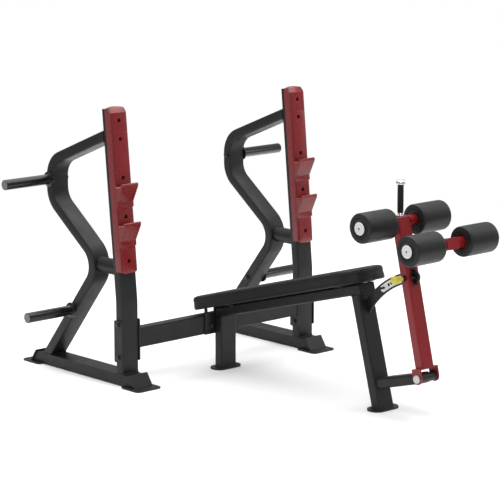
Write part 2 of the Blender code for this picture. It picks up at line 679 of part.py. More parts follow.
def build_pad():
    """The upholstered slab, hollowed below for its board, and the brackets that carry it."""
    bottom = PAD_GAP
    pad = add_object("pad_cushion", slab_mesh(pad_outline(), bottom, bottom + PAD_THICK), "pad_vinyl")
    recess = slab_mesh(pad_outline(BOARD_INSET - GAP), bottom - 0.005, bottom + BOARD_THICK + GAP)
    apply_boolean(pad, add_object("board_recess", recess, "chrome"))
    add_object("pad_board", slab_mesh(pad_outline(BOARD_INSET), bottom, bottom + BOARD_THICK), "pad_board")
    wide, long = BRACKET_SIZE
    for name, along in BRACKET_AT.items():
        outline = [(u, along + v) for u, v in rounded_rect(wide / 2, long / 2, 0.004, 1)]
        add_object(name, slab_mesh(outline, GAP, PAD_GAP - GAP), "frame_paint")


# ---------------------------------------------------------------- leg hold-down

def leg_front_angle(radius, clearance=GAP):
    """Angle from upright at which a circle about the pivot meets the front face of the leg."""
    corner = Vector(along_bench(LEG_AT + TUBE_DEEP, -TUBE_DEEP)) - Vector(PIVOT)
    reach = corner.x * math.cos(SLOPE) - corner.y * math.sin(SLOPE) - clearance
    return SLOPE + math.asin(reach / radius)


def build_link():
    """The bar from the leg to the pivot, with the pivot's cross tube welded on its end."""
    corner = Vector(along_bench(LEG_AT + TUBE_DEEP, -TUBE_DEEP)) - Vector(PIVOT)
    reach = corner.x * math.cos(SLOPE) - corner.y * math.sin(SLOPE) - GAP
    way = Vector((math.cos(SLOPE), -math.sin(SLOPE)))
    start, end = Vector(PIVOT) + way * (PIVOT_TUBE_R - 0.004), Vector(PIVOT) + way * reach
    bar = tube_mesh([start, end], LINK_WIDE, TUBE_DEEP, corner=0.010)
    link = add_object("link_bar", bar, "frame_paint")
    low, high = -PIVOT_TUBE_HALF, PIVOT_TUBE_HALF
    tube = turned_mesh(((low, 0), (high, 0), (high, PIVOT_TUBE_R), (low, PIVOT_TUBE_R)), (0, *PIVOT), 24)
    apply_boolean(link, add_object("pivot_tube", tube, "frame_paint"), "UNION")
    bore = round_cutter("pivot_bore", (0, *PIVOT), PIN_R + GAP, PIVOT_TUBE_HALF + 0.01, "x", 24)
    apply_boolean(link, bore)


def build_clevis():
    """A U bracket on the arm's lower end whose cheeks straddle the pivot tube."""
    cheek = FLANGE
    web_low, web_high = ARM_BOTTOM - GAP - FLANGE, ARM_BOTTOM - GAP
    outline = []
    for step in range(9):
        angle = math.pi * step / 8
        outline.append(along_arm(-CLEVIS_R * math.sin(angle), CLEVIS_R * math.cos(angle)))
    outline += [along_arm(web_high, -CLEVIS_R), along_arm(web_high, CLEVIS_R)]
    clevis = add_object("clevis", prism_mesh(outline, -CLEVIS_HALF, CLEVIS_HALF), "red_paint", "hold_down_arm")
    inside = [along_arm(distance, forward)
              for distance, forward in ((-0.06, 0.06), (-0.06, -0.06), (web_low, -0.06), (web_low, 0.06))]
    half = CLEVIS_HALF - cheek
    gap = add_object("clevis_gap", prism_mesh(inside, -half, half), "chrome", "hold_down_arm")
    apply_boolean(clevis, gap)
    bore = round_cutter("clevis_bore", (0, *PIVOT), PIN_R + GAP, 0.1, "x", 24, "hold_down_arm")
    apply_boolean(clevis, bore)


def build_pivot_pin():
    """A pin through clevis and pivot tube, with a broad round head at each end."""
    low, high = -CLEVIS_HALF - GAP, CLEVIS_HALF + GAP
    head, edge = 0.008, 0.002
    profile = ((low - head, 0), (high + head, 0), (high + head, PIN_CAP_R - edge),
               (high + head - edge, PIN_CAP_R), (high, PIN_CAP_R), (high, PIN_R), (low, PIN_R),
               (low, PIN_CAP_R), (low - head + edge, PIN_CAP_R), (low - head, PIN_CAP_R - edge))
    add_object("pivot_pin", turned_mesh(profile, (0, *PIVOT), 24), "chrome", "hold_down_arm", smooth=True)


def build_arm():
    """The red arm: a tube closed at the top, slotted front and back for the sector."""
    top = (ARM_TOP_Z - PIVOT[1]) / math.cos(ARM_LEAN)
    path = [along_arm(ARM_BOTTOM), along_arm(top)]
    arm = tube_mesh(path, ARM_WIDE, ARM_DEEP, corner=0.008, cuts=(None, (-1, 0)), closed_top=True)
    arm = add_object("hold_down_arm", arm, "red_paint", "hold_down_arm")
    slot = [along_arm(distance, forward) for distance, forward in
            ((SLOT_R[0], 0.03), (SLOT_R[0], -0.03), (SLOT_R[1], -0.03), (SLOT_R[1], 0.03))]
    slot = add_object("sector_slot", prism_mesh(slot, -SLOT_HALF, SLOT_HALF), "chrome", "hold_down_arm")
    apply_boolean(arm, slot)
    pin = along_arm(LOCK_R)
    bore = round_cutter("pin_bore", (-ARM_WIDE / 2, *pin), PIN_R - 0.003, 0.008, "x", 16, "hold_down_arm")
    apply_boolean(arm, bore)


def build_bars():
    """Roller bars: two stubs on the arm's sides, and one whole bar on a bracket in front of the arm."""
    y, z = along_arm(REAR_BAR_AT)
    inner = BAR_R - WALL
    start = ARM_WIDE / 2 + GAP
    for side, out in (("left", -1), ("right", 1)):
        profile = [(out * start, inner), (out * start, BAR_R), (out * BAR_HALF, BAR_R), (out * BAR_HALF, inner)]
        add_object(side + "_rear_bar", turned_mesh(profile, (0, y, z), 24), "red_paint", "hold_down_arm",
                   smooth=True)
    at, out_front = FRONT_BAR_AT
    y, z = along_arm(at, out_front)
    profile = ((-BAR_HALF, inner), (BAR_HALF, inner), (BAR_HALF, BAR_R), (-BAR_HALF, BAR_R))
    add_object("front_bar", turned_mesh(profile, (0, y, z), 24), "red_paint", "hold_down_arm", smooth=True)
    start, end = Vector(along_arm(at, ARM_DEEP / 2 + GAP)), Vector(along_arm(at, out_front + BAR_R + 0.006))
    bracket = tube_mesh([start, end], ARM_WIDE, BRACKET_DEEP + 0.008, corner=0.010, closed_top=True)
    bracket = add_object("front_bracket", bracket, "red_paint", "hold_down_arm")
    bore = round_cutter("bar_bore", (0, y, z), BAR_R + GAP, ARM_WIDE, "x", 24, "hold_down_arm")
    apply_boolean(bracket, bore)


def roller_places():
    rear, front = along_arm(REAR_BAR_AT), along_arm(*FRONT_BAR_AT)
    return {"left_rear_roller": (-1, rear), "right_rear_roller": (1, rear),
            "left_front_roller": (-1, front), "right_front_roller": (1, front)}


def build_rollers():
    """Foam rollers that turn freely on the bars."""
    start, end = ROLLER_X
    inner = BAR_R + GAP
    for name, (out, (y, z)) in roller_places().items():
        profile = [(start, inner), (end, inner)]
        for middle, first in ((end - ROLLER_ROUND, 0.0), (start + ROLLER_ROUND, math.pi / 2)):
            for step in range(4):
                angle = first + math.pi / 2 * step / 3
                profile.append((middle + ROLLER_ROUND * math.cos(angle),
                                ROLLER_R - ROLLER_ROUND + ROLLER_ROUND * math.sin(angle)))
        profile = [(out * along, radius) for along, radius in profile]
        add_object(name, turned_mesh(profile, (0, y, z), 32), "foam", name, smooth=True)


def build_handle():
    """An upright handle on top of the arm: a turned post with a collar and cap, and a rubber grip."""
    y = along_arm((ARM_TOP_Z - PIVOT[1]) / math.cos(ARM_LEAN))[0]
    base = ARM_TOP_Z + GAP
    collar, grip_low, grip_high, top = base + 0.008, base + 0.016, base + 0.145, base + 0.169
    rod = 0.008
    profile = ((base, 0), (base, 0.015), (collar, 0.015), (collar, 0.011), (grip_low, 0.011), (grip_low, rod),
               (grip_high, rod), (grip_high, 0.018), (grip_high + 0.003, 0.021), (top - 0.008, 0.021),
               (top - 0.002, 0.014), (top, 0))
    add_object("handle_post", turned_mesh(profile, (0, y, 0), 20, "z"), "chrome", "hold_down_arm", smooth=True)
    low, high = grip_low + GAP, grip_high - GAP
    profile = ((low, rod + GAP), (low, 0.013), (low + 0.0015, 0.0145), (high - 0.0015, 0.0145), (high, 0.013),
               (high, rod + GAP))
    add_object("handle_grip", turned_mesh(profile, (0, y, 0), 20, "z"), "black_plastic", "hold_down_arm",
               smooth=True)


def build_sector():
    """The fixed sector with its row of locking holes, welded to the leg."""
    low, high = SECTOR_R
    middle, half = (low + high) / 2, (high - low) / 2
    outline = []
    steps = 14
    for radius, order in ((high, range(steps + 1)), (low, range(steps, -1, -1))):
        start, end = SECTOR_START + half / middle, leg_front_angle(radius)
        for step in order:
            outline.append(on_sector(radius, start + (end - start) * step / steps))
    nose = SECTOR_START + half / middle
    centre = Vector(on_sector(middle, nose))
    radial = (centre - Vector(PIVOT)).normalized()
    ahead = Vector((-radial.y, radial.x))
    for step in range(1, 6):
        angle = math.pi * step / 6
        outline.append(tuple(centre - radial * half * math.cos(angle) + ahead * half * math.sin(angle)))
    sector = add_object("sector_plate", prism_mesh(outline, -SECTOR_HALF, SECTOR_HALF), "frame_paint")
    for number in range(HOLE_COUNT):
        place = on_sector(LOCK_R, ARM_LEAN + HOLE_STEP * number)
        hole = round_cutter(f"lock_hole_{number}", (0, *place), HOLE_R, 0.02, "x", 10)
        apply_boolean(sector, hole)
    for name, angle in (("front_stop", FRONT_STOP), ("rear_stop", REAR_STOP)):
        place = on_sector(LOCK_R, angle)
        hole = round_cutter(name + "_hole", (0, *place), STOP_R + GAP, 0.02, "x", 12)
        apply_boolean(sector, hole)
        low, near, far = -0.032, SECTOR_HALF + GAP, SECTOR_HALF + 0.008
        profile = ((low, 0), (far, 0), (far, 0.007), (near, 0.007), (near, STOP_R), (low + 0.001, STOP_R),
                   (low, STOP_R - 0.001))
        add_object(name + "_bolt", turned_mesh(profile, (0, *place), 12), "black_plastic", smooth=True)


def build_slot_guide():
    """A black frame round the slot in the arm's front face."""
    face = ARM_DEEP / 2 + GAP
    middle, half = sum(SLOT_R) / 2, (SLOT_R[1] - SLOT_R[0]) / 2
    loops = [rounded_rect(SLOT_HALF + wall, half + wall, 0.004) for wall in (0.007, 0.0)]
    bm = bmesh.new()
    rings = [[add_ring(bm, [(u, *along_arm(middle + v, forward)) for u, v in loop]) for loop in loops]
             for forward in (face, face + 0.003)]
    (outer_low, inner_low), (outer_high, inner_high) = rings
    bridge(bm, outer_low, outer_high)
    bridge(bm, inner_low, inner_high)
    bridge(bm, outer_low, inner_low)
    bridge(bm, outer_high, inner_high)
    add_object("slot_guide", bm, "black_plastic", "hold_down_arm")


def build_pull_pin():
    """The plunger housing on the arm's side, and the knob with the locking pin it pulls."""
    y, z = along_arm(LOCK_R)
    face = -ARM_WIDE / 2 - GAP
    bore = PIN_R - 0.004 + GAP
    housing = ((face, bore), (face, 0.0145), (face - 0.005, 0.0145), (face - 0.007, 0.012), (face - 0.016, 0.012),
               (face - 0.016, bore))
    add_object("plunger_housing", turned_mesh(housing, (0, y, z), 20), "black_plastic", "hold_down_arm",
               smooth=True)
    neck = face - 0.016 - GAP
    pin = PIN_R - 0.004
    knob = ((-SECTOR_HALF - 0.0006, 0), (-SECTOR_HALF - 0.0006, pin), (neck, pin), (neck, 0.0105),
            (neck - 0.006, 0.0105), (neck - 0.040, 0.0165), (neck - 0.050, 0.0175), (neck - 0.057, 0.0150),
            (neck - 0.060, 0.0080), (neck - 0.060, 0))
    add_object("pull_knob", turned_mesh(knob, (0, y, z), 20), "yellow_plastic", "pull_pin", smooth=True)


def main():
    clear_scene()
    MATERIALS.update(make_materials())
    origin = make_empty("bench_origin", (0, SHIFT_Y, 0))
    PARENTS["frame"] = origin
    PARENTS["hold_down_arm"] = make_empty("hold_down_arm_axis", (0, *PIVOT), origin)
    PARENTS["pull_pin"] = make_empty("pull_pin_axis", (-ARM_WIDE / 2, *along_arm(LOCK_R)), origin)
    for name, (out, place) in roller_places().items():
        PARENTS[name] = make_empty(name + "_axis", (out * sum(ROLLER_X) / 2, *place), origin)
    for side, x in (("left", -FRAME_X), ("right", FRAME_X)):
        build_base(side, x)
        build_feet(side, x)
        build_upright(side, x)
        build_s_tube(side, x)
        build_spacer(side, x)
        build_horns(side, x)
        build_covers(side, x)
        build_backing_plate(side, x)
    build_crossmember()
    build_joint_plate()
    build_bench_frame()
    build_pad()
    build_link()
    build_clevis()
    build_pivot_pin()
    build_arm()
    build_bars()
    build_rollers()
    build_handle()
    build_sector()
    build_slot_guide()
    build_pull_pin()


main()
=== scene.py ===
"""Looks of the decline olympic bench: finishes, upholstery, rollers, fasteners, welds, light and camera.

Sizes named here repeat the part's own, in metres from the bench's zero, which is on the floor under the
front face of the uprights. place() moves them into the shared frame.
"""

import json
import math

import bmesh
import bpy
from mathutils import Matrix, Vector


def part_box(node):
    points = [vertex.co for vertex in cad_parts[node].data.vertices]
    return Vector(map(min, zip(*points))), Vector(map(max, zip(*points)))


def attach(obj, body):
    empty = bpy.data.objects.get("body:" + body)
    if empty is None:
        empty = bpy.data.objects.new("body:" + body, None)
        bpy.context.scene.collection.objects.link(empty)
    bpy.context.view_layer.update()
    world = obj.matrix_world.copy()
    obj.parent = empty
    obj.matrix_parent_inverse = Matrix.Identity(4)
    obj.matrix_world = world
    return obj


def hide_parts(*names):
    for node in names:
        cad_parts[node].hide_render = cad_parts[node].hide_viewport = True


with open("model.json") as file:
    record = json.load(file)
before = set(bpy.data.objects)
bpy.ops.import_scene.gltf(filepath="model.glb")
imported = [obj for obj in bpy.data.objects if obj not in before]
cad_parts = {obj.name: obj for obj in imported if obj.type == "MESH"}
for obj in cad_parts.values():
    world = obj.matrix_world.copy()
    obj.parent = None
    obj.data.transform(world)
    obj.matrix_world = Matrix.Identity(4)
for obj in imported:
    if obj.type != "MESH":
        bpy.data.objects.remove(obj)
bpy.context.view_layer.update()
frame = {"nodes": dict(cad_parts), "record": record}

# ---------------------------------------------------------------- sizes shared with the part
GAP = 0.0003
BEAM_FRONT = -0.0956
SHIFT_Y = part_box("left_base_beam")[0].y - BEAM_FRONT
FRAME_X = 0.586
TUBE_WIDE, TUBE_DEEP, TUBE_CORNER = 0.100, 0.050, 0.007
BEAM_TOP = 0.058
UPRIGHT_BEND_Z = 0.413
UPRIGHT_LEAN = math.radians(5.53)
UPRIGHT_LENGTH = 0.9325
S_TUBE_START_Z = 1.2095
S_TUBE_CORNERS = ((0.554, 1.039), (0.5525, 0.851), (0.184, 0.5745))
S_TUBE_END_Y = 0.6006
S_TUBE_BEND = 0.115
SPACER_R, SPACER_Z = 0.0385, 0.567
HORN_R, HORN_LENGTH, HORN_FLANGE_R = 0.025, 0.275, 0.038
HORNS = {"upper": (0.5535, 0.950), "lower": (0.393, 0.317)}
COVER_JOINTS = (0.136, 0.2553, 0.4429, 0.6308, 0.8187, 0.942)
COVER_NAMES = ("bottom_cover", "lower_hook", "upper_hook", "middle_cover", "top_cover")
COVER_HOLE_AT = (0.0652, 0.1588, 0.1582, 0.156, 0.0574)
CROSS_Z = (0.177, 0.277)
FLANGE, PLATE = 0.008, 0.006
SLOPE = math.radians(15.4)
BENCH_START = (-0.0083, 0.3055)
LEG_AT = 0.975
PAD_GAP, PAD_THICK, PAD_WIDE = 0.005, 0.067, 0.280
PAD_ENDS = (-0.0775, 1.0925)
PAD_CORNERS = (0.040, 0.105)
BOARD_THICK, BOARD_INSET = 0.012, 0.012
BRACKETS = (0.180, 0.968)
PIVOT = (-1.400, 0.201)
ARM_LEAN = math.radians(13.7)
ARM_WIDE, ARM_DEEP, ARM_TOP_Z = 0.077, 0.050, 0.9225
BAR_R = 0.025
REAR_BAR_AT, FRONT_BAR_AT = 0.7177, (0.5870, 0.2700)
ROLLER_R, ROLLER_X = 0.070, (0.082, 0.266)
SECTOR_HALF, LOCK_R = 0.004, 0.461
HOLE_STEP, HOLE_COUNT = math.radians(2.5), 8
SIDES = (("left", -1), ("right", 1))

# ---------------------------------------------------------------- sizes and settings of the looks alone
LABEL_HALF = 0.0165               # half the width of the sector's label
LABEL_END = math.radians(36.6)
GROOVE_BELOW_TOP = 0.0165         # where the pad's seam runs, under its top face
GROOVE_HALF, GROOVE_DEEP = 0.004, 0.0008
PAD_VOXEL = 0.0055
PAD_SWELL = 0.0032                # the furthest that the filling moves the cover
CLOTH_FRAMES = 20
PIVOT_FACE = 0.060 + GAP
FLOOR_RADIUS = 4.0
CAMERA_AT = (-7.4354, -8.3193, 2.7648)
CAMERA_YAW, CAMERA_PITCH = math.radians(-42.53), math.radians(11.03)
CAMERA_LENS, CAMERA_SENSOR = 165.0, 36


def along_bench(distance, height):
    """(y, z) of a point along the beam's top line and square above it."""
    return (BENCH_START[0] - distance * math.cos(SLOPE) + height * math.sin(SLOPE),
            BENCH_START[1] + distance * math.sin(SLOPE) + height * math.cos(SLOPE))


def along_upright(height, forward):
    """(y, z) of a point up the slanted part of an upright and out in front of its front face."""
    cos, sin = math.cos(UPRIGHT_LEAN), math.sin(UPRIGHT_LEAN)
    return (height * sin - forward * cos, UPRIGHT_BEND_Z + height * cos + forward * sin)


def along_arm(distance, forward=0.0):
    """(y, z) of a point along the hold-down arm from its pivot and out in front of its middle line."""
    cos, sin = math.cos(ARM_LEAN), math.sin(ARM_LEAN)
    return (PIVOT[0] + distance * sin - forward * cos, PIVOT[1] + distance * cos + forward * sin)


def on_sector(radius, angle):
    """(y, z) at a radius from the pivot and an angle from upright, towards the pad."""
    return (PIVOT[0] + radius * math.sin(angle), PIVOT[1] + radius * math.cos(angle))


UP_FORWARD = Vector((0, -math.cos(UPRIGHT_LEAN), math.sin(UPRIGHT_LEAN)))
BENCH_UP = Vector((0, math.sin(SLOPE), math.cos(SLOPE)))
ARM_FORWARD = Vector((0, -math.cos(ARM_LEAN), math.sin(ARM_LEAN)))


# ---------------------------------------------------------------- materials

class Finish:
    """A Principled material whose surface detail is built from noise in the piece's own metres."""

    def __init__(self, name, colour, roughness, metallic=0.0, specular=0.5, coat=0.0, sheen=0.0):
        self.material = bpy.data.materials.new(name)
        self.material.use_nodes = True
        self.tree = self.material.node_tree
        self.shader = self.tree.nodes["Principled BSDF"]
        self.colour = colour
        self.set(self.shader, "Base Color", (*colour, 1))
        self.set(self.shader, "Roughness", roughness)
        self.set(self.shader, "Metallic", metallic)
        self.set(self.shader, "Specular IOR Level", specular)
        self.set(self.shader, "Coat Weight", coat)
        self.set(self.shader, "Coat Roughness", 0.12)
        self.set(self.shader, "Sheen Weight", sheen)
        self.place = self.node("ShaderNodeTexCoord").outputs["Object"]
        self.normal = None

    def node(self, kind, **settings):
        made = self.tree.nodes.new(kind)
        for name, value in settings.items():
            setattr(made, name, value)
        return made

    def set(self, node, socket, value):
        node.inputs[socket].default_value = value

    def link(self, source, target):
        self.tree.links.new(source, target)

    def noise(self, scale, detail=3.0, roughness=0.55, stretch=None):
        noise = self.node("ShaderNodeTexNoise")
        self.set(noise, "Scale", scale)
        self.set(noise, "Detail", detail)
        self.set(noise, "Roughness", roughness)
        place = self.place
        if stretch:
            mapping = self.node("ShaderNodeMapping")
            self.set(mapping, "Scale", stretch)
            self.link(place, mapping.inputs["Vector"])
            place = mapping.outputs["Vector"]
        self.link(place, noise.inputs["Vector"])
        return noise.outputs["Fac"]

    def cells(self, scale, feature="DISTANCE_TO_EDGE"):
        cells = self.node("ShaderNodeTexVoronoi", feature=feature)
        self.set(cells, "Scale", scale)
        self.link(self.place, cells.inputs["Vector"])
        return cells.outputs["Distance"]

    def ramp(self, value, low, high, start=0.0, end=1.0):
        """value mapped from low..high to start..end, clamped."""
        ramp = self.node("ShaderNodeMapRange")
        for socket, number in (("From Min", low), ("From Max", high), ("To Min", start), ("To Max", end)):
            self.set(ramp, socket, number)
        self.link(value, ramp.inputs["Value"])
        return ramp.outputs["Result"]

    def tint(self, mask, colour):
        """Colour where the mask is 1, over what the base colour is already."""
        mix = self.node("ShaderNodeMix", data_type="RGBA")
        base = self.shader.inputs["Base Color"]
        self.set(mix, 6, (*self.colour, 1))
        if base.is_linked:
            self.link(base.links[0].from_socket, mix.inputs[6])
        self.set(mix, 7, (*colour, 1))
        self.link(mask, mix.inputs[0])
        self.link(mix.outputs[2], base)
        return self

    def vary_roughness(self, mask, low, high):
        self.link(self.ramp(mask, 0.3, 0.7, low, high), self.shader.inputs["Roughness"])
        return self

    def rounded(self, radius):
        """Softens the shading across edges, as paint and moulding do."""
        bevel = self.node("ShaderNodeBevel", samples=6)
        self.set(bevel, "Radius", radius)
        self.normal = bevel.outputs["Normal"]
        self.link(self.normal, self.shader.inputs["Normal"])
        return self

    def bump(self, height, distance, strength=1.0):
        bump = self.node("ShaderNodeBump")
        self.set(bump, "Distance", distance)
        self.set(bump, "Strength", strength)
        self.link(height, bump.inputs["Height"])
        if self.normal:
            self.link(self.normal, bump.inputs["Normal"])
        self.normal = bump.outputs["Normal"]
        self.link(self.normal, self.shader.inputs["Normal"])
        return self

    def sideways(self, radius):
        """How far the rounded surface faces left or right, from 0 to 1."""
        bevel = self.node("ShaderNodeBevel", samples=6)
        self.set(bevel, "Radius", radius)
        parts = self.node("ShaderNodeSeparateXYZ")
        self.link(bevel.outputs["Normal"], parts.inputs["Vector"])
        size = self.node("ShaderNodeMath", operation="ABSOLUTE")
        self.link(parts.outputs["X"], size.inputs[0])
        return size.outputs["Value"]

    def edge_mask(self, radius):
        """1 near an edge, from how far the rounded normal turns away from the face's own."""
        bevel = self.node("ShaderNodeBevel", samples=6)
        self.set(bevel, "Radius", radius)
        geometry = self.node("ShaderNodeNewGeometry")
        dot = self.node("ShaderNodeVectorMath", operation="DOT_PRODUCT")
        self.link(bevel.outputs["Normal"], dot.inputs[0])
        self.link(geometry.outputs["Normal"], dot.inputs[1])
        return self.ramp(dot.outputs["Value"], 0.995, 0.90)


def make_finishes():
    """One finish for each slot of the record and for the small pieces added here."""
    made = {}

    def add(name, *values, **more):
        made[name] = Finish(name + "_finish", *values, **more)
        return made[name]

    paint = add("frame_paint", (0.0095, 0.0095, 0.0098), 0.40, specular=0.30)
    paint.rounded(0.0016).bump(paint.noise(900, 2), 0.00025, 0.30)
    paint.bump(paint.noise(240, 2), 0.0005, 0.10)
    paint.vary_roughness(paint.noise(14), 0.36, 0.50)
    paint.tint(paint.ramp(paint.noise(5, 4), 0.45, 0.75, 0, 0.35), (0.0135, 0.0135, 0.0140))
    paint.tint(paint.ramp(paint.noise(1500, 1), 0.60, 0.75, 0, 0.5), (0.022, 0.022, 0.023))
    paint.tint(paint.edge_mask(0.0012), (0.030, 0.030, 0.031))

    red = add("red_paint", (0.190, 0.0050, 0.0075), 0.32, specular=0.36, coat=0.14)
    red.rounded(0.0016).bump(red.noise(700, 2), 0.0002, 0.25)
    red.vary_roughness(red.noise(18), 0.28, 0.42)
    red.tint(red.ramp(red.noise(6, 4), 0.45, 0.75, 0, 0.4), (0.200, 0.0060, 0.0090))
    red.tint(red.edge_mask(0.0012), (0.270, 0.030, 0.036))

    cover = add("red_plastic", (0.170, 0.0040, 0.0060), 0.26, specular=0.45, coat=0.20)
    cover.rounded(0.0020).bump(cover.cells(900, "F1"), 0.00008, 0.15)
    cover.bump(cover.noise(160, 3), 0.0002, 0.06)
    cover.vary_roughness(cover.noise(22), 0.24, 0.34)
    cover.tint(cover.ramp(cover.noise(9, 4), 0.45, 0.75, 0, 0.4), (0.165, 0.0035, 0.0055))
    # Painted shade: the covers turn darker across the rounded corners between front and side faces, by how far
    # the surface faces sideways.
    side = cover.sideways(0.006)
    cover.tint(cover.ramp(side, 0.12, 0.40), (0.080, 0.0020, 0.0030))
    # Painted reflection: faces turned fully sideways are tinted lighter and pinker.
    cover.tint(cover.ramp(side, 0.66, 0.90), (0.185, 0.0210, 0.0250))
    # Painted highlight: a lighter pink line along the covers' edges.
    cover.tint(cover.edge_mask(0.0015), (0.300, 0.045, 0.055))

    vinyl = add("pad_vinyl", (0.0050, 0.0050, 0.0052), 0.44, specular=0.26, coat=0.03)
    grain = vinyl.ramp(vinyl.cells(520), 0.0, 0.12)
    vinyl.bump(grain, 0.0005, 0.35).bump(vinyl.noise(1300, 2), 0.0002, 0.25)
    vinyl.bump(vinyl.noise(28, 2), 0.002, 0.10)
    vinyl.vary_roughness(vinyl.noise(11), 0.40, 0.54)
    vinyl.tint(vinyl.ramp(vinyl.noise(7, 4), 0.45, 0.8, 0, 0.6), (0.0070, 0.0070, 0.0073))

    foam = add("foam", (0.0080, 0.0085, 0.0085), 0.40, specular=0.32)
    foam.bump(foam.cells(650, "F1"), 0.0004, 0.25).bump(foam.noise(1600, 2), 0.0002, 0.30)
    foam.bump(foam.noise(45, 3), 0.0015, 0.12)
    foam.vary_roughness(foam.noise(15, 3, stretch=(0.4, 2, 2)), 0.36, 0.52)
    foam.tint(foam.ramp(foam.noise(8, 4), 0.45, 0.75, 0, 0.5), (0.0105, 0.0110, 0.0110))

    chrome = add("chrome", (0.78, 0.78, 0.79), 0.13, metallic=1.0)
    chrome.rounded(0.0008).bump(chrome.noise(60, 2, stretch=(1, 14, 14)), 0.0002, 0.06)
    chrome.vary_roughness(chrome.noise(90), 0.08, 0.20)

    zinc = add("satin_zinc", (0.52, 0.52, 0.53), 0.36, metallic=0.7)
    zinc.rounded(0.0006).bump(zinc.noise(500, 2), 0.0001, 0.15)
    zinc.vary_roughness(zinc.noise(80), 0.28, 0.46)

    enamel = add("black_enamel", (0.0035, 0.0035, 0.0037), 0.18, specular=0.4, coat=0.2)
    enamel.rounded(0.0010).bump(enamel.noise(350, 2), 0.0003, 0.14)
    enamel.vary_roughness(enamel.noise(30), 0.15, 0.30)
    scuffs = enamel.noise(20, 5, stretch=(1, 5, 5))
    enamel.tint(enamel.ramp(scuffs, 0.62, 0.75, 0, 0.5), (0.009, 0.009, 0.010))

    plastic = add("black_plastic", (0.0060, 0.0060, 0.0062), 0.48, specular=0.3)
    plastic.rounded(0.0010).bump(plastic.noise(1200, 2), 0.0003, 0.30)
    plastic.vary_roughness(plastic.noise(40), 0.42, 0.60)

    yellow = add("yellow_plastic", (0.58, 0.52, 0.030), 0.36, specular=0.5, coat=0.15)
    yellow.rounded(0.0008).bump(yellow.noise(900, 2), 0.0002, 0.20)
    yellow.vary_roughness(yellow.noise(50), 0.30, 0.46)
    yellow.tint(yellow.ramp(yellow.noise(30, 3), 0.5, 0.8, 0, 0.5), (0.50, 0.43, 0.022))

    board = add("pad_board", (0.060, 0.045, 0.030), 0.75, specular=0.2)
    board.bump(board.noise(60, 5, stretch=(1, 0.08, 1)), 0.0008, 0.3)
    streaks = board.noise(120, 4, stretch=(1, 0.05, 1))
    board.tint(board.ramp(streaks, 0.45, 0.7, 0, 0.8), (0.028, 0.020, 0.013))

    cap = add("white_plastic", (0.62, 0.62, 0.61), 0.38, specular=0.45)
    cap.rounded(0.0008).bump(cap.noise(900, 2), 0.0002, 0.2)
    cap.tint(cap.ramp(cap.noise(60, 4), 0.5, 0.8, 0, 0.4), (0.50, 0.50, 0.49))

    grey = add("grey_plastic", (0.16, 0.16, 0.16), 0.42, specular=0.4)
    grey.rounded(0.0008).bump(grey.noise(900, 2), 0.0002, 0.25)
    grey.tint(grey.ramp(grey.noise(80, 3), 0.5, 0.8, 0, 0.4), (0.12, 0.12, 0.12))

    label = add("label_film", (0.66, 0.66, 0.65), 0.30, specular=0.5, coat=0.2)
    label.bump(label.noise(300, 2), 0.0001, 0.15)
    label.tint(label.ramp(label.noise(40, 4), 0.55, 0.8, 0, 0.35), (0.54, 0.54, 0.53))

    bolt = add("bolt_steel", (0.055, 0.055, 0.058), 0.34, metallic=0.9)
    bolt.rounded(0.0005).bump(bolt.noise(700, 2), 0.0001, 0.2)
    bolt.vary_roughness(bolt.noise(120), 0.26, 0.44)

    weld = add("weld_paint", (0.0110, 0.0110, 0.0113), 0.38, specular=0.35)
    weld.bump(weld.noise(500, 3), 0.0006, 0.35)

    red_weld = add("red_weld_paint", (0.180, 0.0045, 0.0070), 0.36, specular=0.35)
    red_weld.bump(red_weld.noise(500, 3), 0.0006, 0.35)

    thread = add("thread", (0.024, 0.024, 0.025), 0.7, specular=0.2)
    thread.bump(thread.noise(2600, 2, stretch=(1, 3, 3)), 0.0002, 0.4)
    return {name: finish.material for name, finish in made.items()}


MATERIALS = make_finishes()
SLOTS = {entry["node"]: entry["material_slot"] for entry in frame["record"]["subparts"]}


def dress_cad_nodes():
    for name, item in frame["nodes"].items():
        item.data.materials.clear()
        item.data.materials.append(MATERIALS[SLOTS[name]])


# ---------------------------------------------------------------- mesh helpers

def place(point):
    """A point from the bench's zero moved into the shared frame."""
    return Vector((point[0], point[1] + SHIFT_Y, point[2]))


def add_piece(name, bm, material, body="frame", instead_of=(), sharp=40):
    """A finished bmesh in bench coordinates as a piece that rides on a body."""
    bmesh.ops.translate(bm, verts=bm.verts, vec=(0, SHIFT_Y, 0))
    bmesh.ops.recalc_face_normals(bm, faces=bm.faces)
    mesh = bpy.data.meshes.new(name)
    bm.to_mesh(mesh)
    bm.free()
    mesh.shade_smooth()
    mesh.set_sharp_from_angle(angle=math.radians(sharp))
    item = bpy.data.objects.new(name, mesh)
    item.data.materials.append(MATERIALS[material])
    bpy.context.scene.collection.objects.link(item)
    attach(item, body)
    if instead_of:
        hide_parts(*instead_of)
    return item


def ring(bm, points):
    return [bm.verts.new(point) for point in points]


def bridge(bm, ring_a, ring_b):
    for index in range(len(ring_a)):
        following = (index + 1) % len(ring_a)
        bm.faces.new((ring_a[index], ring_a[following], ring_b[following], ring_b[index]))


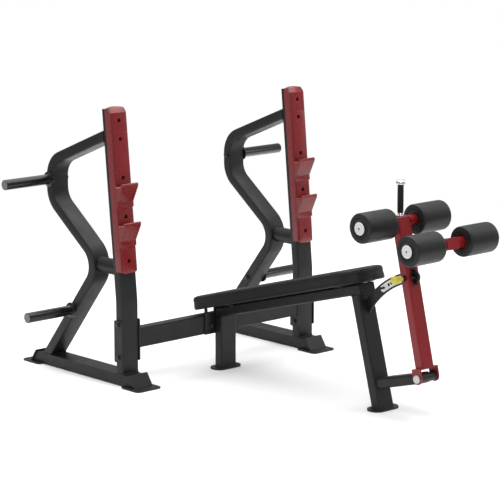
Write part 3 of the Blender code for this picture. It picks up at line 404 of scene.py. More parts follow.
def turn(bm, profile, centre, axis, segments=48, closed=False, flutes=0, flute_depth=0.0):
    """Adds a profile of (along, radius) points turned about an axis; an end at radius 0 closes in a point."""
    way = Vector(axis).normalized()
    turned = Vector((0, 0, 1)).rotation_difference(way).to_matrix()
    centre = Vector(centre)
    rings = []
    for along, radius in profile:
        points = []
        for number in range(segments if radius > 1e-6 else 1):
            angle = 2 * math.pi * number / segments
            wave = 1 - flute_depth * (0.5 + 0.5 * math.cos(flutes * angle)) if flutes else 1
            local = Vector((radius * wave * math.cos(angle), radius * wave * math.sin(angle), along))
            points.append(centre + turned @ local)
        rings.append(ring(bm, points))
    pairs = list(zip(rings, rings[1:])) + ([(rings[-1], rings[0])] if closed else [])
    for ring_a, ring_b in pairs:
        if len(ring_a) == len(ring_b) == 1:
            continue
        if len(ring_a) > 1 and len(ring_b) > 1:
            bridge(bm, ring_a, ring_b)
            continue
        tip, round_ring = (ring_a[0], ring_b) if len(ring_a) == 1 else (ring_b[0], ring_a)
        for index in range(len(round_ring)):
            bm.faces.new((round_ring[index], round_ring[(index + 1) % len(round_ring)], tip))
    return bm


def rounded_rect(half_u, half_v, radius, steps=6):
    """Points of a rectangle with round corners, anticlockwise; radius may be one value for each corner."""
    radii = radius if isinstance(radius, (tuple, list)) else (radius,) * 4
    points = []
    for quarter, (sign_u, sign_v) in enumerate(((1, 1), (-1, 1), (-1, -1), (1, -1))):
        corner = radii[quarter]
        for step in range(steps + 1):
            angle = math.pi / 2 * (quarter + step / steps)
            points.append((sign_u * (half_u - corner) + corner * math.cos(angle),
                           sign_v * (half_v - corner) + corner * math.sin(angle)))
    return points


def fillet_path(corners, radius, steps=18):
    """A line through the corners with each inner corner rounded to an arc of the radius."""
    path = [Vector(corners[0])]
    for before, corner, after in zip(corners, corners[1:], corners[2:]):
        corner = Vector(corner)
        back = (Vector(before) - corner).normalized()
        ahead = (Vector(after) - corner).normalized()
        half = back.angle(ahead) / 2
        centre = corner + (back + ahead).normalized() * radius / math.sin(half)
        start = corner + back * radius / math.tan(half) - centre
        sweep = math.pi - 2 * half
        way = -1 if back.x * ahead.y - back.y * ahead.x > 0 else 1
        for step in range(steps + 1):
            angle = way * sweep * step / steps
            cos, sin = math.cos(angle), math.sin(angle)
            path.append(centre + Vector((start.x * cos - start.y * sin, start.x * sin + start.y * cos)))
    path.append(Vector(corners[-1]))
    return path


def tube_skin(path, wide, deep, x, cuts=(None, None), corner=TUBE_CORNER):
    """The outside of a rectangular tube swept along a (y, z) path, with flat ends set by the saw cuts."""
    outline = rounded_rect(wide / 2, deep / 2, corner, 5)
    ways = [(end - start).normalized() for start, end in zip(path, path[1:])]
    bm = bmesh.new()
    rings = []
    for index, point in enumerate(path):
        before, after = ways[max(index - 1, 0)], ways[min(index, len(ways) - 1)]
        side_before, side_after = Vector((-before.y, before.x)), Vector((-after.y, after.x))
        cut = (side_before + side_after).normalized()
        end = 0 if index == 0 else 1 if index == len(path) - 1 else None
        if end is not None and cuts[end] is not None:
            cut = Vector(cuts[end]).normalized()
            if cut.dot(side_after) < 0:
                cut.negate()
        reach = cut / cut.dot(side_after)
        rings.append(ring(bm, [(x + u, *(point + reach * v)) for u, v in outline]))
    for ring_a, ring_b in zip(rings, rings[1:]):
        bridge(bm, ring_a, ring_b)
    bm.faces.new(rings[0])
    bm.faces.new(rings[-1])
    return bm


def resample(points, spacing, closed):
    points = [Vector(point) for point in points]
    if closed:
        points.append(points[0])
    lengths = [0.0]
    for start, end in zip(points, points[1:]):
        lengths.append(lengths[-1] + (end - start).length)
    count = max(4, round(lengths[-1] / spacing))
    made, index = [], 0
    for step in range(count if closed else count + 1):
        target = lengths[-1] * step / count
        while index < len(lengths) - 2 and lengths[index + 1] < target:
            index += 1
        share = (target - lengths[index]) / max(lengths[index + 1] - lengths[index], 1e-9)
        made.append(points[index].lerp(points[index + 1], share))
    return made


def sweep_line(bm, points, radius, closed=True, spacing=0.002, ripple=0.0, sides=8, squash=1.0,
               normal=None):
    """Adds a cord of the radius along the points; ripple makes the overlapping crescents of a weld."""
    path = resample(points, spacing, closed)
    rings = []
    for index, point in enumerate(path):
        before = path[index - 1] if closed or index else point
        after = path[(index + 1) % len(path)] if closed or index < len(path) - 1 else point
        way = (after - before).normalized()
        up = Vector(normal) if normal else (Vector((0, 0, 1)) if abs(way.z) < 0.9 else Vector((0, 1, 0)))
        side = way.cross(up).normalized()
        up = side.cross(way).normalized()
        size = radius * (1 + ripple * (abs(math.sin(index * 1.05)) - 0.5))
        rings.append(ring(bm, [point + side * size * math.cos(angle) + up * size * squash * math.sin(angle)
                               for angle in (2 * math.pi * step / sides for step in range(sides))]))
    pairs = list(zip(rings, rings[1:])) + ([(rings[-1], rings[0])] if closed else [])
    for ring_a, ring_b in pairs:
        bridge(bm, ring_a, ring_b)
    if not closed:
        bm.faces.new(rings[0])
        bm.faces.new(rings[-1])


def circle(centre, axis, radius, steps=48):
    turned = Vector((0, 0, 1)).rotation_difference(Vector(axis).normalized()).to_matrix()
    return [Vector(centre) + turned @ Vector((radius * math.cos(angle), radius * math.sin(angle), 0))
            for angle in (2 * math.pi * step / steps for step in range(steps))]


# ---------------------------------------------------------------- fasteners

def hex_bolt(bm, centre, axis, across=0.019, washer=True):
    """A hexagon head with a chamfered top and a raised centre, on a washer."""
    head, rim = across / 2 / math.cos(math.pi / 6), across / 2
    base = 0.0
    if washer:
        turn(bm, [(0, 0), (0, across * 0.72), (0.0004, across * 0.74), (0.0017, across * 0.74),
                  (0.0021, across * 0.72), (0.0021, 0)], centre, axis, 40)
        base = 0.0021
    tall = across * 0.42
    turn(bm, [(base, 0), (base, head), (base + tall * 0.82, head)], centre, axis, 6)
    turn(bm, [(base + tall * 0.82 - 0.0004, rim * 0.99), (base + tall * 0.93, rim * 0.96),
              (base + tall, rim * 0.84), (base + tall, rim * 0.42), (base + tall - 0.0006, rim * 0.36),
              (base + tall - 0.0006, 0)], centre, axis, 36)
    turn(bm, [(base + tall * 0.82, head), (base + tall * 0.90, rim * 0.97), (base + tall * 0.90, 0)],
         centre, axis, 6)


def socket_screw(bm, centre, axis, radius=0.007):
    """A low domed head with a hexagon socket."""
    tall = radius * 0.55
    turn(bm, [(0, 0), (0, radius), (tall * 0.30, radius), (tall * 0.62, radius * 0.90),
              (tall * 0.88, radius * 0.68), (tall, radius * 0.47), (tall - 0.0001, radius * 0.44)],
         centre, axis, 32)
    turn(bm, [(tall, radius * 0.47), (tall - 0.0004, radius * 0.42), (tall * 0.25, radius * 0.40),
              (tall * 0.22, 0)], centre, axis, 6)


def build_fasteners():
    """Bolts through the flanges, horns, joint plate, brackets and covers, gathered by where they belong."""
    for side, out in SIDES:
        x = out * FRAME_X
        bm = bmesh.new()
        outer = x + out * (TUBE_WIDE / 2 + GAP + PLATE + GAP)
        inner = x - out * (TUBE_WIDE / 2 + GAP + FLANGE + GAP)
        for z in (0.142, 0.304):
            hex_bolt(bm, (outer, 0.0255, z), (out, 0, 0))
            hex_bolt(bm, (inner, 0.0255, z), (-out, 0, 0))
        add_piece(side + "_flange_bolts", bm, "bolt_steel")
        bm = bmesh.new()
        for y, z in HORNS.values():
            hex_bolt(bm, (x - out * (TUBE_WIDE / 2 + GAP), y, z), (-out, 0, 0), 0.022)
        add_piece(side + "_horn_bolts", bm, "bolt_steel")
        bm = bmesh.new()
        for low, at in zip(COVER_JOINTS, COVER_HOLE_AT):
            socket_screw(bm, (x, *along_upright(low + at, GAP)), UP_FORWARD, 0.0085)
        add_piece(side + "_cover_screws", bm, "black_plastic")
        bm = bmesh.new()
        for along, (y, z) in (("rear", along_arm(REAR_BAR_AT)), ("front", along_arm(*FRONT_BAR_AT))):
            start = ROLLER_X[1] + 0.0012
            turn(bm, [(start, 0), (start, 0.0285), (start + 0.0010, 0.0300), (start + 0.0030, 0.0300),
                      (start + 0.0044, 0.0282), (start + 0.0046, 0.0210), (start + 0.0036, 0.0200),
                      (start + 0.0036, 0.0125), (start + 0.0050, 0.0115), (start + 0.0054, 0.0060),
                      (start + 0.0054, 0)], (0, y, z), (out, 0, 0), 64)
        add_piece(side + "_roller_caps", bm, "white_plastic", "hold_down_arm")
        bm = bmesh.new()
        for y, z in (along_arm(REAR_BAR_AT), along_arm(*FRONT_BAR_AT)):
            socket_screw(bm, (out * (ROLLER_X[1] + 0.0064), y, z), (out, 0, 0), 0.0045)
        add_piece(side + "_cap_screws", bm, "bolt_steel", "hold_down_arm")
    bm = bmesh.new()
    for x in (-0.076, 0.076):
        hex_bolt(bm, (x, -0.0083, 0.219), (0, -1, 0))
    add_piece("joint_plate_bolts", bm, "bolt_steel")
    bm = bmesh.new()
    for along in BRACKETS:
        for x in (-0.092, 0.092):
            hex_bolt(bm, (x, *along_bench(along, -GAP)), -BENCH_UP, 0.013)
    add_piece("bracket_bolts", bm, "bolt_steel")
    bm = bmesh.new()
    for along in (-0.024, 0.024):
        centre = along_arm((0.4295 + 0.4935) / 2 + along * 1.62, ARM_DEEP / 2 + GAP + 0.003)
        for x in (-0.0115, 0.0115):
            socket_screw(bm, (x, *centre), ARM_FORWARD, 0.0022)
    add_piece("guide_screws", bm, "bolt_steel", "hold_down_arm")


# ---------------------------------------------------------------- welds

def build_welds():
    steel, red = bmesh.new(), bmesh.new()

    def bead(target, points, radius=0.0026, **more):
        sweep_line(target, points, radius, ripple=0.45, spacing=0.0022, **more)

    for _, out in SIDES:
        x = out * FRAME_X
        foot = rounded_rect(TUBE_WIDE / 2 + 0.0005, TUBE_DEEP / 2 + 0.0005, TUBE_CORNER)
        bead(steel, [(x + u, TUBE_DEEP / 2 + v, BEAM_TOP + 0.001) for u, v in foot])
        last = Vector(S_TUBE_CORNERS[-1]) - Vector((S_TUBE_END_Y, BEAM_TOP))
        reach = TUBE_DEEP / 2 / (last.y / last.length)
        foot = rounded_rect(TUBE_WIDE / 2 + 0.0005, reach + 0.0005, TUBE_CORNER)
        bead(steel, [(x + u, S_TUBE_END_Y + v, BEAM_TOP + 0.001) for u, v in foot])
        for y, z in HORNS.values():
            joint = (x + out * (TUBE_WIDE / 2 + 0.009), y, z)
            bead(steel, circle(joint, (out, 0, 0), HORN_R + 0.0005), 0.0020)
        rise = (SPACER_Z - UPRIGHT_BEND_Z) / math.cos(UPRIGHT_LEAN)
        back = along_upright(rise, -TUBE_DEEP - 0.0008)
        bead(steel, circle((x, *back), UP_FORWARD, SPACER_R + 0.0005), 0.0024)
        flange = x - out * (TUBE_WIDE / 2 + GAP + FLANGE + 0.0005)
        tall = (CROSS_Z[1] - CROSS_Z[0]) / 2
        section = rounded_rect(TUBE_DEEP / 2 + 0.0005, tall + 0.0005, TUBE_CORNER)
        bead(steel, [(flange, TUBE_DEEP / 2 + u, sum(CROSS_Z) / 2 + v) for u, v in section])
        top = S_TUBE_START_Z
        middle = (top - UPRIGHT_BEND_Z) / math.cos(UPRIGHT_LEAN)
        half = TUBE_DEEP / 2 / math.cos(math.atan2(top - S_TUBE_CORNERS[0][1], 0.425) - UPRIGHT_LEAN)
        section = rounded_rect(TUBE_WIDE / 2 + 0.0005, half + 0.0005, TUBE_CORNER)
        bead(steel, [(x + u, *along_upright(middle + v, -TUBE_DEEP - 0.0010)) for u, v in section])
    half = TUBE_DEEP / 2
    post_y = BENCH_START[0] - half
    section = rounded_rect(TUBE_WIDE / 2 + 0.0005, half + 0.0005, TUBE_CORNER)
    bead(steel, [(u, post_y + v, 0.0092) for u, v in section])
    top = Vector(along_bench(LEG_AT + half, -TUBE_DEEP - GAP))
    leg_y = top.x - math.sin(SLOPE) * (top.y - 0.0083) / math.cos(SLOPE)
    section = rounded_rect(TUBE_WIDE / 2 + 0.0005, half / math.cos(SLOPE) + 0.0005, TUBE_CORNER)
    bead(steel, [(u, leg_y + v, 0.0092) for u, v in section])
    section = rounded_rect(TUBE_WIDE / 2 + 0.0005, half + 0.0005, TUBE_CORNER)
    bead(steel, [(u, *along_bench(LEG_AT + half + v, -TUBE_DEEP - 0.001)) for u, v in section])
    add_piece("frame_welds", steel, "weld_paint", sharp=80)
    rear = along_arm(REAR_BAR_AT)
    for _, out in SIDES:
        bead(red, circle((out * (ARM_WIDE / 2 + 0.0006), *rear), (out, 0, 0), BAR_R + 0.0005), 0.0020)
        front = along_arm(*FRONT_BAR_AT)
        bead(red, circle((out * (ARM_WIDE / 2 + 0.0004), *front), (out, 0, 0), BAR_R + 0.0005), 0.0020)
    section = rounded_rect(ARM_WIDE / 2 + 0.0005, 0.0275, 0.010)
    bead(red, [(u, *along_arm(FRONT_BAR_AT[0] + v, ARM_DEEP / 2 + 0.0010)) for u, v in section], 0.0022)
    add_piece("arm_welds", red, "red_weld_paint", "hold_down_arm", sharp=80)


# ---------------------------------------------------------------- bent tubes

def build_bent_tubes():
    half = TUBE_DEEP / 2
    cos, sin = math.cos(UPRIGHT_LEAN), math.sin(UPRIGHT_LEAN)
    for side, out in SIDES:
        x = out * FRAME_X
        bend = Vector((half, UPRIGHT_BEND_Z))
        top = bend + Vector((sin, cos)) * (UPRIGHT_LENGTH - half * sin)
        path = fillet_path([(half, BEAM_TOP + GAP), bend, top], 0.30, 12)
        add_piece(side + "_upright_skin", tube_skin(path, TUBE_WIDE, TUBE_DEEP, x), "frame_paint",
                  instead_of=[side + "_upright"])
        rise = (S_TUBE_START_Z - UPRIGHT_BEND_Z) / cos
        corners = [(TUBE_DEEP / cos + rise * sin + GAP * 2, S_TUBE_START_Z), *S_TUBE_CORNERS,
                   (S_TUBE_END_Y, BEAM_TOP + GAP)]
        path = fillet_path(corners, S_TUBE_BEND, 24)
        skin = tube_skin(path, TUBE_WIDE, TUBE_DEEP, x, cuts=((-sin, -cos), (1, 0)))
        add_piece(side + "_s_tube_skin", skin, "frame_paint", instead_of=[side + "_s_tube"])


# ---------------------------------------------------------------- moulded covers

def soften(node, width, segments, name, material, body="frame"):
    """A copy of a CAD node's shape with its hard edges rounded, shown in the node's place."""
    bm = bmesh.new()
    bm.from_mesh(frame["nodes"][node].data)
    bmesh.ops.remove_doubles(bm, verts=bm.verts, dist=2e-5)
    bmesh.ops.dissolve_limit(bm, angle_limit=math.radians(1.5), verts=bm.verts, edges=bm.edges)
    bmesh.ops.translate(bm, verts=bm.verts, vec=(0, -SHIFT_Y, 0))
    item = add_piece(name, bm, material, body, [node])
    bevel = item.modifiers.new("edges", "BEVEL")
    bevel.width = width
    bevel.segments = segments
    bevel.limit_method = "ANGLE"
    bevel.angle_limit = math.radians(30)
    bevel.use_clamp_overlap = True
    bevel.harden_normals = True
    return item


def build_covers():
    for side, _ in SIDES:
        for name in COVER_NAMES:
            node = f"{side}_{name}"
            soften(node, 0.0014, 3, node + "_moulding", "red_plastic")


# ---------------------------------------------------------------- turned pieces

def build_horns():
    for side, out in SIDES:
        face = out * (FRAME_X + TUBE_WIDE / 2 + GAP)
        for name, (y, z) in HORNS.items():
            bm = bmesh.new()
            turn(bm, [(0, 0), (0, HORN_FLANGE_R - 0.0010), (0.0003, HORN_FLANGE_R - 0.0003),
                      (0.0012, HORN_FLANGE_R), (0.0066, HORN_FLANGE_R), (0.0076, HORN_FLANGE_R - 0.0005),
                      (0.0080, HORN_FLANGE_R - 0.0016), (0.0080, HORN_R + 0.0022), (0.0090, HORN_R + 0.0006),
                      (0.0106, HORN_R), (HORN_LENGTH - 0.0030, HORN_R), (HORN_LENGTH - 0.0022, HORN_R - 0.0004),
                      (HORN_LENGTH - 0.0018, HORN_R - 0.0014), (HORN_LENGTH - 0.0030, HORN_R - 0.0022),
                      (HORN_LENGTH - 0.0030, 0)], (face, y, z), (out, 0, 0), 72)
            node = f"{side}_{name}_horn"
            add_piece(node + "_sleeve", bm, "black_enamel", instead_of=[node])
            bm = bmesh.new()
            end = HORN_LENGTH
            turn(bm, [(end - 0.0035, 0), (end - 0.0035, HORN_R - 0.0024), (end - 0.0010, HORN_R - 0.0024),
                      (end - 0.0003, HORN_R - 0.0030), (end, HORN_R - 0.0045), (end - 0.0001, 0.0060),
                      (end - 0.0008, 0.0052), (end - 0.0008, 0)], (face, y, z), (out, 0, 0), 56)
            add_piece(node + "_plug", bm, "grey_plastic")


def build_rollers():
    """Dense foam rollers: nearly straight, with rounded rims and a ring groove in each end round the bar."""
    start, end = ROLLER_X
    middle, half = (start + end) / 2, (end - start) / 2
    rim, steps = 0.009, 10
    for name, along in (("rear", along_arm(REAR_BAR_AT)), ("front", along_arm(*FRONT_BAR_AT))):
        for side, out in SIDES:
            profile = [(-half + 0.0040, BAR_R + GAP), (-half + 0.0034, 0.0290), (-half + 0.0010, 0.0320),
                       (-half + 0.0006, 0.0440), (-half + 0.0028, 0.0452), (-half + 0.0028, 0.0466),
                       (-half, 0.0480), (-half, 0.0560)]
            for step in range(steps + 1):
                angle = math.pi / 2 * step / steps
                profile.append((-half + rim - rim * math.cos(angle),
                                ROLLER_R - 0.0003 - rim + rim * math.sin(angle)))
            closed_end = len(profile)
            for step in range(1, 12):
                share = step / 12
                profile.append((-half + rim + (2 * half - 2 * rim) * share,
                                ROLLER_R - 0.0003 * (2 * share - 1) ** 2))
            mirrored = [(-along_x, radius) for along_x, radius in reversed(profile[:closed_end])]
            profile += mirrored
            bm = turn(bmesh.new(), profile, (out * middle, *along), (out, 0, 0), 96, closed=True)
            node = f"{side}_{name}_roller"
            add_piece(node + "_foam", bm, "foam", node, [node])


def build_handle():
    y = along_arm((ARM_TOP_Z - PIVOT[1]) / math.cos(ARM_LEAN))[0]
    base = ARM_TOP_Z + GAP
    bm = bmesh.new()
    turn(bm, [(0, 0), (0, 0.0140), (0.0006, 0.0150), (0.0050, 0.0150), (0.0058, 0.0142), (0.0062, 0.0118),
              (0.0150, 0.0110), (0.0160, 0.0104), (0.0160, 0.0080), (0.1450, 0.0080), (0.1450, 0.0165),
              (0.1458, 0.0186), (0.1476, 0.0204), (0.1500, 0.0210), (0.1570, 0.0210), (0.1610, 0.0200),
              (0.1645, 0.0175), (0.1672, 0.0135), (0.1686, 0.0080), (0.1690, 0)],
         (0, y, base), (0, 0, 1), 64)
    add_piece("handle_rod", bm, "chrome", "hold_down_arm", ["handle_post"])
    profile = [(0.0163, 0.0083), (0.0163, 0.0130), (0.0172, 0.0143)]
    for step in range(1, 41):
        along = 0.0180 + 0.1255 * step / 41
        groove = 0.0007 if step % 2 else 0.0
        profile.append((along, 0.0143 - groove + 0.0004 * math.sin(step / 41 * math.pi)))
    profile += [(0.1440, 0.0143), (0.1447, 0.0130), (0.1447, 0.0083)]
    bm = turn(bmesh.new(), profile, (0, y, base), (0, 0, 1), 48, closed=True)
    add_piece("handle_sleeve", bm, "black_plastic", "hold_down_arm", ["handle_grip"], 60)


def build_pull_knob():
    """A tapered pull knob with shallow finger flutes, and the steel pin that slides in the housing."""
    y, z = along_arm(LOCK_R)
    neck = ARM_WIDE / 2 + GAP + 0.016 + GAP
    bm = turn(bmesh.new(), [(0, 0), (0, 0.0105), (0.0008, 0.0115), (0.0060, 0.0112), (0.0140, 0.0118),
                            (0.0300, 0.0165), (0.0400, 0.0188), (0.0470, 0.0193), (0.0520, 0.0188),
                            (0.0560, 0.0170), (0.0585, 0.0130), (0.0598, 0.0070), (0.0600, 0)],
              (-neck, y, z), (-1, 0, 0), 72, flutes=8, flute_depth=0.045)
    add_piece("knob_grip", bm, "yellow_plastic", "pull_pin", ["pull_knob"], 50)
    bm = turn(bmesh.new(), [(-neck, 0), (-neck, 0.0060), (-SECTOR_HALF - 0.0016, 0.0060),
                            (-SECTOR_HALF - 0.0006, 0.0050), (-SECTOR_HALF - 0.0006, 0)],
              (0, y, z), (1, 0, 0), 32)
    add_piece("lock_pin", bm, "chrome", "pull_pin")


def build_pivot_caps():
    """The pivot bolt with its cupped washers and domed ends outside the clevis."""
    bm = bmesh.new()
    for out in (-1, 1):
        turn(bm, [(0, 0.0100), (0, 0.0190), (0.0014, 0.0190), (0.0060, 0.0190), (0.0074, 0.0182),
                  (0.0080, 0.0168), (0.0078, 0.0130), (0.0070, 0.0124), (0.0070, 0.0080), (0.0078, 0.0074),
                  (0.0080, 0.0030), (0.0080, 0)], (out * PIVOT_FACE, *PIVOT), (out, 0, 0), 56)
    turn(bm, [(-PIVOT_FACE - 0.001, 0), (-PIVOT_FACE - 0.001, 0.0100), (PIVOT_FACE + 0.001, 0.0100),
              (PIVOT_FACE + 0.001, 0)], (0, *PIVOT), (1, 0, 0), 40)
    add_piece("pivot_bolt", bm, "satin_zinc", "hold_down_arm", ["pivot_pin"])


# ---------------------------------------------------------------- locking sector dressing

def build_sector_label():
    """A pale strip on the sector's left face, drawn whole over the locking holes, with a dark disc on it over
    each hole as painted shade standing in for the open hole.
    """
    low, high = LOCK_R - LABEL_HALF, LOCK_R + LABEL_HALF
    start, end = ARM_LEAN - math.radians(1.6), LABEL_END
    x = -SECTOR_HALF - 0.0007
    bm = bmesh.new()
    outline = []
    steps = 40
    for radius, order in ((high, range(steps + 1)), (low, range(steps, -1, -1))):
        for step in order:
            outline.append(on_sector(radius, start + (end - start) * step / steps))
        if radius == high:
            centre = Vector(on_sector(LOCK_R, end))
            radial = (centre - Vector(PIVOT)).normalized()
            ahead = Vector((radial.y, -radial.x))
            for step in range(1, 12):
                angle = math.pi * step / 12
                outline.append(tuple(centre + radial * LABEL_HALF * math.cos(angle)
                                     + ahead * LABEL_HALF * math.sin(angle)))
    rings = [ring(bm, [(depth, *point) for point in outline]) for depth in (x, -SECTOR_HALF - 0.0001)]
    bridge(bm, *rings)
    for side in rings:
        bm.faces.new(side)
    add_piece("sector_label", bm, "label_film")
    # Painted shade: shallow black discs on the label in place of the dark insides of the locking holes.
    bm = bmesh.new()
    for number in range(HOLE_COUNT):
        place_yz = on_sector(LOCK_R, ARM_LEAN + HOLE_STEP * number)
        turn(bm, [(0, 0), (0, 0.0072), (0.0003, 0.0076), (0.0006, 0.0072), (0.0006, 0)],
             (x, *place_yz), (-1, 0, 0), 28)
    add_piece("painted_hole_shade", bm, "black_plastic")


# ---------------------------------------------------------------- upholstery

def pad_outline(inset=0.0, steps=12):
    """Plan of the pad as points of (x, distance along the bench)."""
    low, high = PAD_ENDS
    half_long, middle = (high - low) / 2 - inset, (low + high) / 2
    head, foot = (max(corner - inset, 0.01) for corner in PAD_CORNERS)
    outline = rounded_rect(PAD_WIDE / 2 - inset, half_long, (foot, foot, head, head), steps)
    return [(u, middle + v) for u, v in outline]


def pad_to_bench():
    """Matrix from the pad's own space (x, along, height) into bench coordinates."""
    along = Vector((0, -math.cos(SLOPE), math.sin(SLOPE)))
    turned = Matrix((Vector((1, 0, 0)), along, BENCH_UP)).transposed().to_4x4()
    return Matrix.Translation((0, *BENCH_START)) @ turned


def start_shape():
    """The pad a little slimmer than its cover, with rounded rims and a recess for the board."""
    top, bottom = PAD_GAP + PAD_THICK, PAD_GAP
    inside = BOARD_INSET - GAP
    levels = [(inside, bottom + BOARD_THICK + GAP), (inside, bottom + 0.0002), (0.0040, bottom),
              (0.0022, bottom + 0.0022), (0.0018, bottom + 0.0060), (0.0018, top - 0.0150),
              (0.0026, top - 0.0080), (0.0056, top - 0.0034), (0.0110, top - 0.0018), (0.0200, top - 0.0015)]
    bm = bmesh.new()
    rings = [ring(bm, [(u, along, height) for u, along in pad_outline(inset)]) for inset, height in levels]
    for ring_a, ring_b in zip(rings, rings[1:]):
        bridge(bm, ring_a, ring_b)
    bm.faces.new(rings[0])
    bm.faces.new(rings[-1])
    bmesh.ops.recalc_face_normals(bm, faces=bm.faces)
    mesh = bpy.data.meshes.new("pad_upholstery")
    bm.to_mesh(mesh)
    bm.free()
    return mesh


def fill_with_pressure(item, most):
    """Swells the free faces of a closed mesh as packed foam does; no point moves further than most."""
    scene = bpy.context.scene
    held = item.vertex_groups.new(name="held")
    start = [vertex.co.copy() for vertex in item.data.vertices]
    low = PAD_GAP + 0.008
    board = PAD_GAP + BOARD_THICK + 0.004
    for vertex in item.data.vertices:
        inner = abs(vertex.co.x) < PAD_WIDE / 2 - 0.006
        if vertex.co.z < low or (inner and vertex.co.z < board):
            held.add([vertex.index], 1.0, "REPLACE")
    cloth = item.modifiers.new("fill", "CLOTH")
    cloth.settings.quality = 6
    cloth.settings.mass = 0.3
    cloth.settings.tension_stiffness = 25
    cloth.settings.compression_stiffness = 25
    cloth.settings.bending_stiffness = 3.0
    cloth.settings.use_pressure = True
    cloth.settings.uniform_pressure_force = 4.0
    cloth.settings.vertex_group_mass = "held"
    cloth.settings.effector_weights.gravity = 0.0
    cloth.collision_settings.use_collision = False
    cloth.point_cache.frame_start, cloth.point_cache.frame_end = 1, CLOTH_FRAMES
    for number in range(1, CLOTH_FRAMES + 1):
        scene.frame_set(number)
    shaped = item.evaluated_get(bpy.context.evaluated_depsgraph_get()).to_mesh()
    ends = [vertex.co.copy() for vertex in shaped.vertices]
    item.evaluated_get(bpy.context.evaluated_depsgraph_get()).to_mesh_clear()
    item.modifiers.remove(cloth)
    scene.frame_set(1)
    for vertex, before, after in zip(item.data.vertices, start, ends):
        move = after - before
        if move.length > most:
            move *= most / move.length
        vertex.co = before + move


def build_pad():
    mesh = start_shape()
    item = bpy.data.objects.new("pad_upholstery", mesh)
    bpy.context.scene.collection.objects.link(item)
    remesh = item.modifiers.new("voxels", "REMESH")
    remesh.mode = "VOXEL"
    remesh.voxel_size = PAD_VOXEL
    remesh.use_smooth_shade = True
    graph = bpy.context.evaluated_depsgraph_get()
    item.data = bpy.data.meshes.new_from_object(item.evaluated_get(graph))
    item.modifiers.clear()
    fill_with_pressure(item, PAD_SWELL)
    relax = bmesh.new()
    relax.from_mesh(item.data)
    for _ in range(3):
        bmesh.ops.smooth_vert(relax, verts=relax.verts, factor=0.35, use_axis_x=True, use_axis_y=True,
                              use_axis_z=True)
    top = PAD_GAP + PAD_THICK
    groove = top - GROOVE_BELOW_TOP
    for vertex in relax.verts:
        if abs(vertex.co.z - groove) < GROOVE_HALF and vertex.normal.z < 0.5:
            pull = GROOVE_DEEP * (1 + math.cos(math.pi * (vertex.co.z - groove) / GROOVE_HALF)) / 2
            vertex.co -= Vector((vertex.normal.x, vertex.normal.y, 0)) * pull
    relax.to_mesh(item.data)
    relax.free()
    item.data.transform(Matrix.Translation((0, SHIFT_Y, 0)) @ pad_to_bench())
    item.data.materials.clear()
    item.data.materials.append(MATERIALS["pad_vinyl"])
    item.data.shade_smooth()
    subdivision = item.modifiers.new("smooth", "SUBSURF")
    subdivision.levels = subdivision.render_levels = 1
    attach(item, "frame")
    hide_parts("pad_cushion")
    to_bench = pad_to_bench()
    welt = bmesh.new()
    line = [to_bench @ Vector((u, along, groove)) for u, along in pad_outline(0.0008, 16)]
    sweep_line(welt, line, 0.0011, spacing=0.006, sides=8, normal=BENCH_UP)
    add_piece("pad_welt", welt, "pad_vinyl", sharp=80)
    rail = bmesh.new()
    section = rounded_rect(0.034, (BRACKETS[1] - BRACKETS[0]) / 2 - 0.019, 0.004, 3)
    middle = sum(BRACKETS) / 2
    rings = [ring(rail, [(u, *along_bench(middle + v, height)) for u, v in section])
             for height in (GAP, PAD_GAP - GAP)]
    bridge(rail, *rings)
    for end in rings:
        rail.faces.new(end)
    add_piece("pad_rail", rail, "black_plastic")
    stitches = bmesh.new()
    line = resample([to_bench @ Vector((u, along, groove - 0.0042)) for u, along in pad_outline(0.0004, 16)],
                    0.0055, True)
    for start, end in zip(line, line[1:] + line[:1]):
        low, high = start.lerp(end, 0.16), start.lerp(end, 0.84)
        turn(stitches, [(0, 0), (0.0003, 0.00045), ((high - low).length - 0.0003, 0.00045),
                        ((high - low).length, 0)], low, high - low, 6)
    add_piece("pad_stitches", stitches, "thread", sharp=80)


# ---------------------------------------------------------------- stage, light and camera

def build_stage():
    bm = bmesh.new()
    bmesh.ops.create_circle(bm, cap_ends=True, segments=96, radius=FLOOR_RADIUS)
    mesh = bpy.data.meshes.new("floor")
    bm.to_mesh(mesh)
    bm.free()
    floor = bpy.data.objects.new("floor", mesh)
    floor.location.z = -0.0005
    bpy.context.scene.collection.objects.link(floor)
    material = bpy.data.materials.new("floor_finish")
    material.use_nodes = True
    shader = material.node_tree.nodes["Principled BSDF"]
    shader.inputs["Base Color"].default_value = (0.90, 0.90, 0.90, 1)
    shader.inputs["Roughness"].default_value = 0.9
    shader.inputs["Specular IOR Level"].default_value = 0.1
    floor.data.materials.append(material)


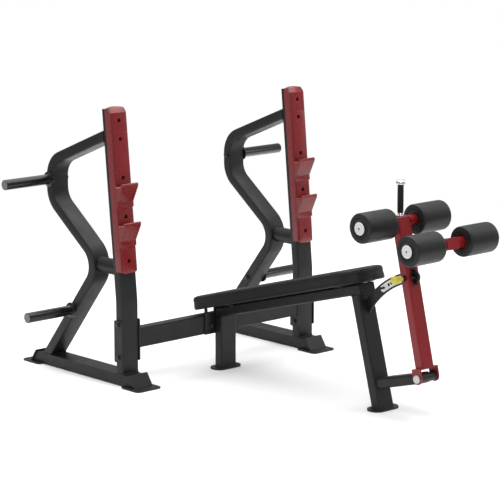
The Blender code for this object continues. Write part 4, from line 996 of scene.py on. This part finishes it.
def area_light(name, location, target, size, power):
    data = bpy.data.lights.new(name, "AREA")
    data.shape = "RECTANGLE"
    data.size, data.size_y = size
    data.energy = power
    light = bpy.data.objects.new(name, data)
    light.location = location
    light.rotation_euler = (Vector(target) - Vector(location)).to_track_quat("-Z", "Y").to_euler()
    bpy.context.scene.collection.objects.link(light)


def build_lights():
    world = bpy.data.worlds.new("studio")
    world.use_nodes = True
    tree = world.node_tree
    room = tree.nodes["Background"]
    room.inputs["Color"].default_value = (1, 1, 1, 1)
    room.inputs["Strength"].default_value = 0.42
    backdrop = tree.nodes.new("ShaderNodeBackground")
    backdrop.inputs["Color"].default_value = (1, 1, 1, 1)
    path = tree.nodes.new("ShaderNodeLightPath")
    mix = tree.nodes.new("ShaderNodeMixShader")
    tree.links.new(path.outputs["Is Camera Ray"], mix.inputs["Fac"])
    tree.links.new(room.outputs["Background"], mix.inputs[1])
    tree.links.new(backdrop.outputs["Background"], mix.inputs[2])
    tree.links.new(mix.outputs["Shader"], tree.nodes["World Output"].inputs["Surface"])
    bpy.context.scene.world = world
    middle = (0, 0, 0.6)
    area_light("top_light", (0.0, 0.5, 6.0), (0, 0.5, 0), (10.0, 10.0), 800)
    area_light("key_light", (-3.5, -5.5, 3.4), middle, (2.4, 2.4), 60)
    area_light("side_light", (5.0, -2.0, 2.6), middle, (2.0, 3.0), 40)


def build_camera():
    yaw, pitch = CAMERA_YAW, CAMERA_PITCH
    back = Vector((math.sin(yaw) * math.cos(pitch), -math.cos(yaw) * math.cos(pitch), math.sin(pitch)))
    right = Vector((math.cos(yaw), math.sin(yaw), 0))
    turned = Matrix((right, back.cross(right), back)).transposed().to_4x4()
    data = bpy.data.cameras.new("camera")
    data.sensor_width = CAMERA_SENSOR
    data.lens = CAMERA_LENS
    data.clip_end = 100
    camera = bpy.data.objects.new("camera", data)
    camera.matrix_world = Matrix.Translation(place(CAMERA_AT)) @ turned
    bpy.context.scene.collection.objects.link(camera)
    bpy.context.scene.camera = camera
    bpy.context.scene.view_settings.view_transform = "Standard"


dress_cad_nodes()
build_bent_tubes()
build_covers()
build_horns()
build_rollers()
build_handle()
build_pull_knob()
build_pivot_caps()
build_sector_label()
build_fasteners()
build_welds()
build_pad()
build_stage()
build_lights()
build_camera()
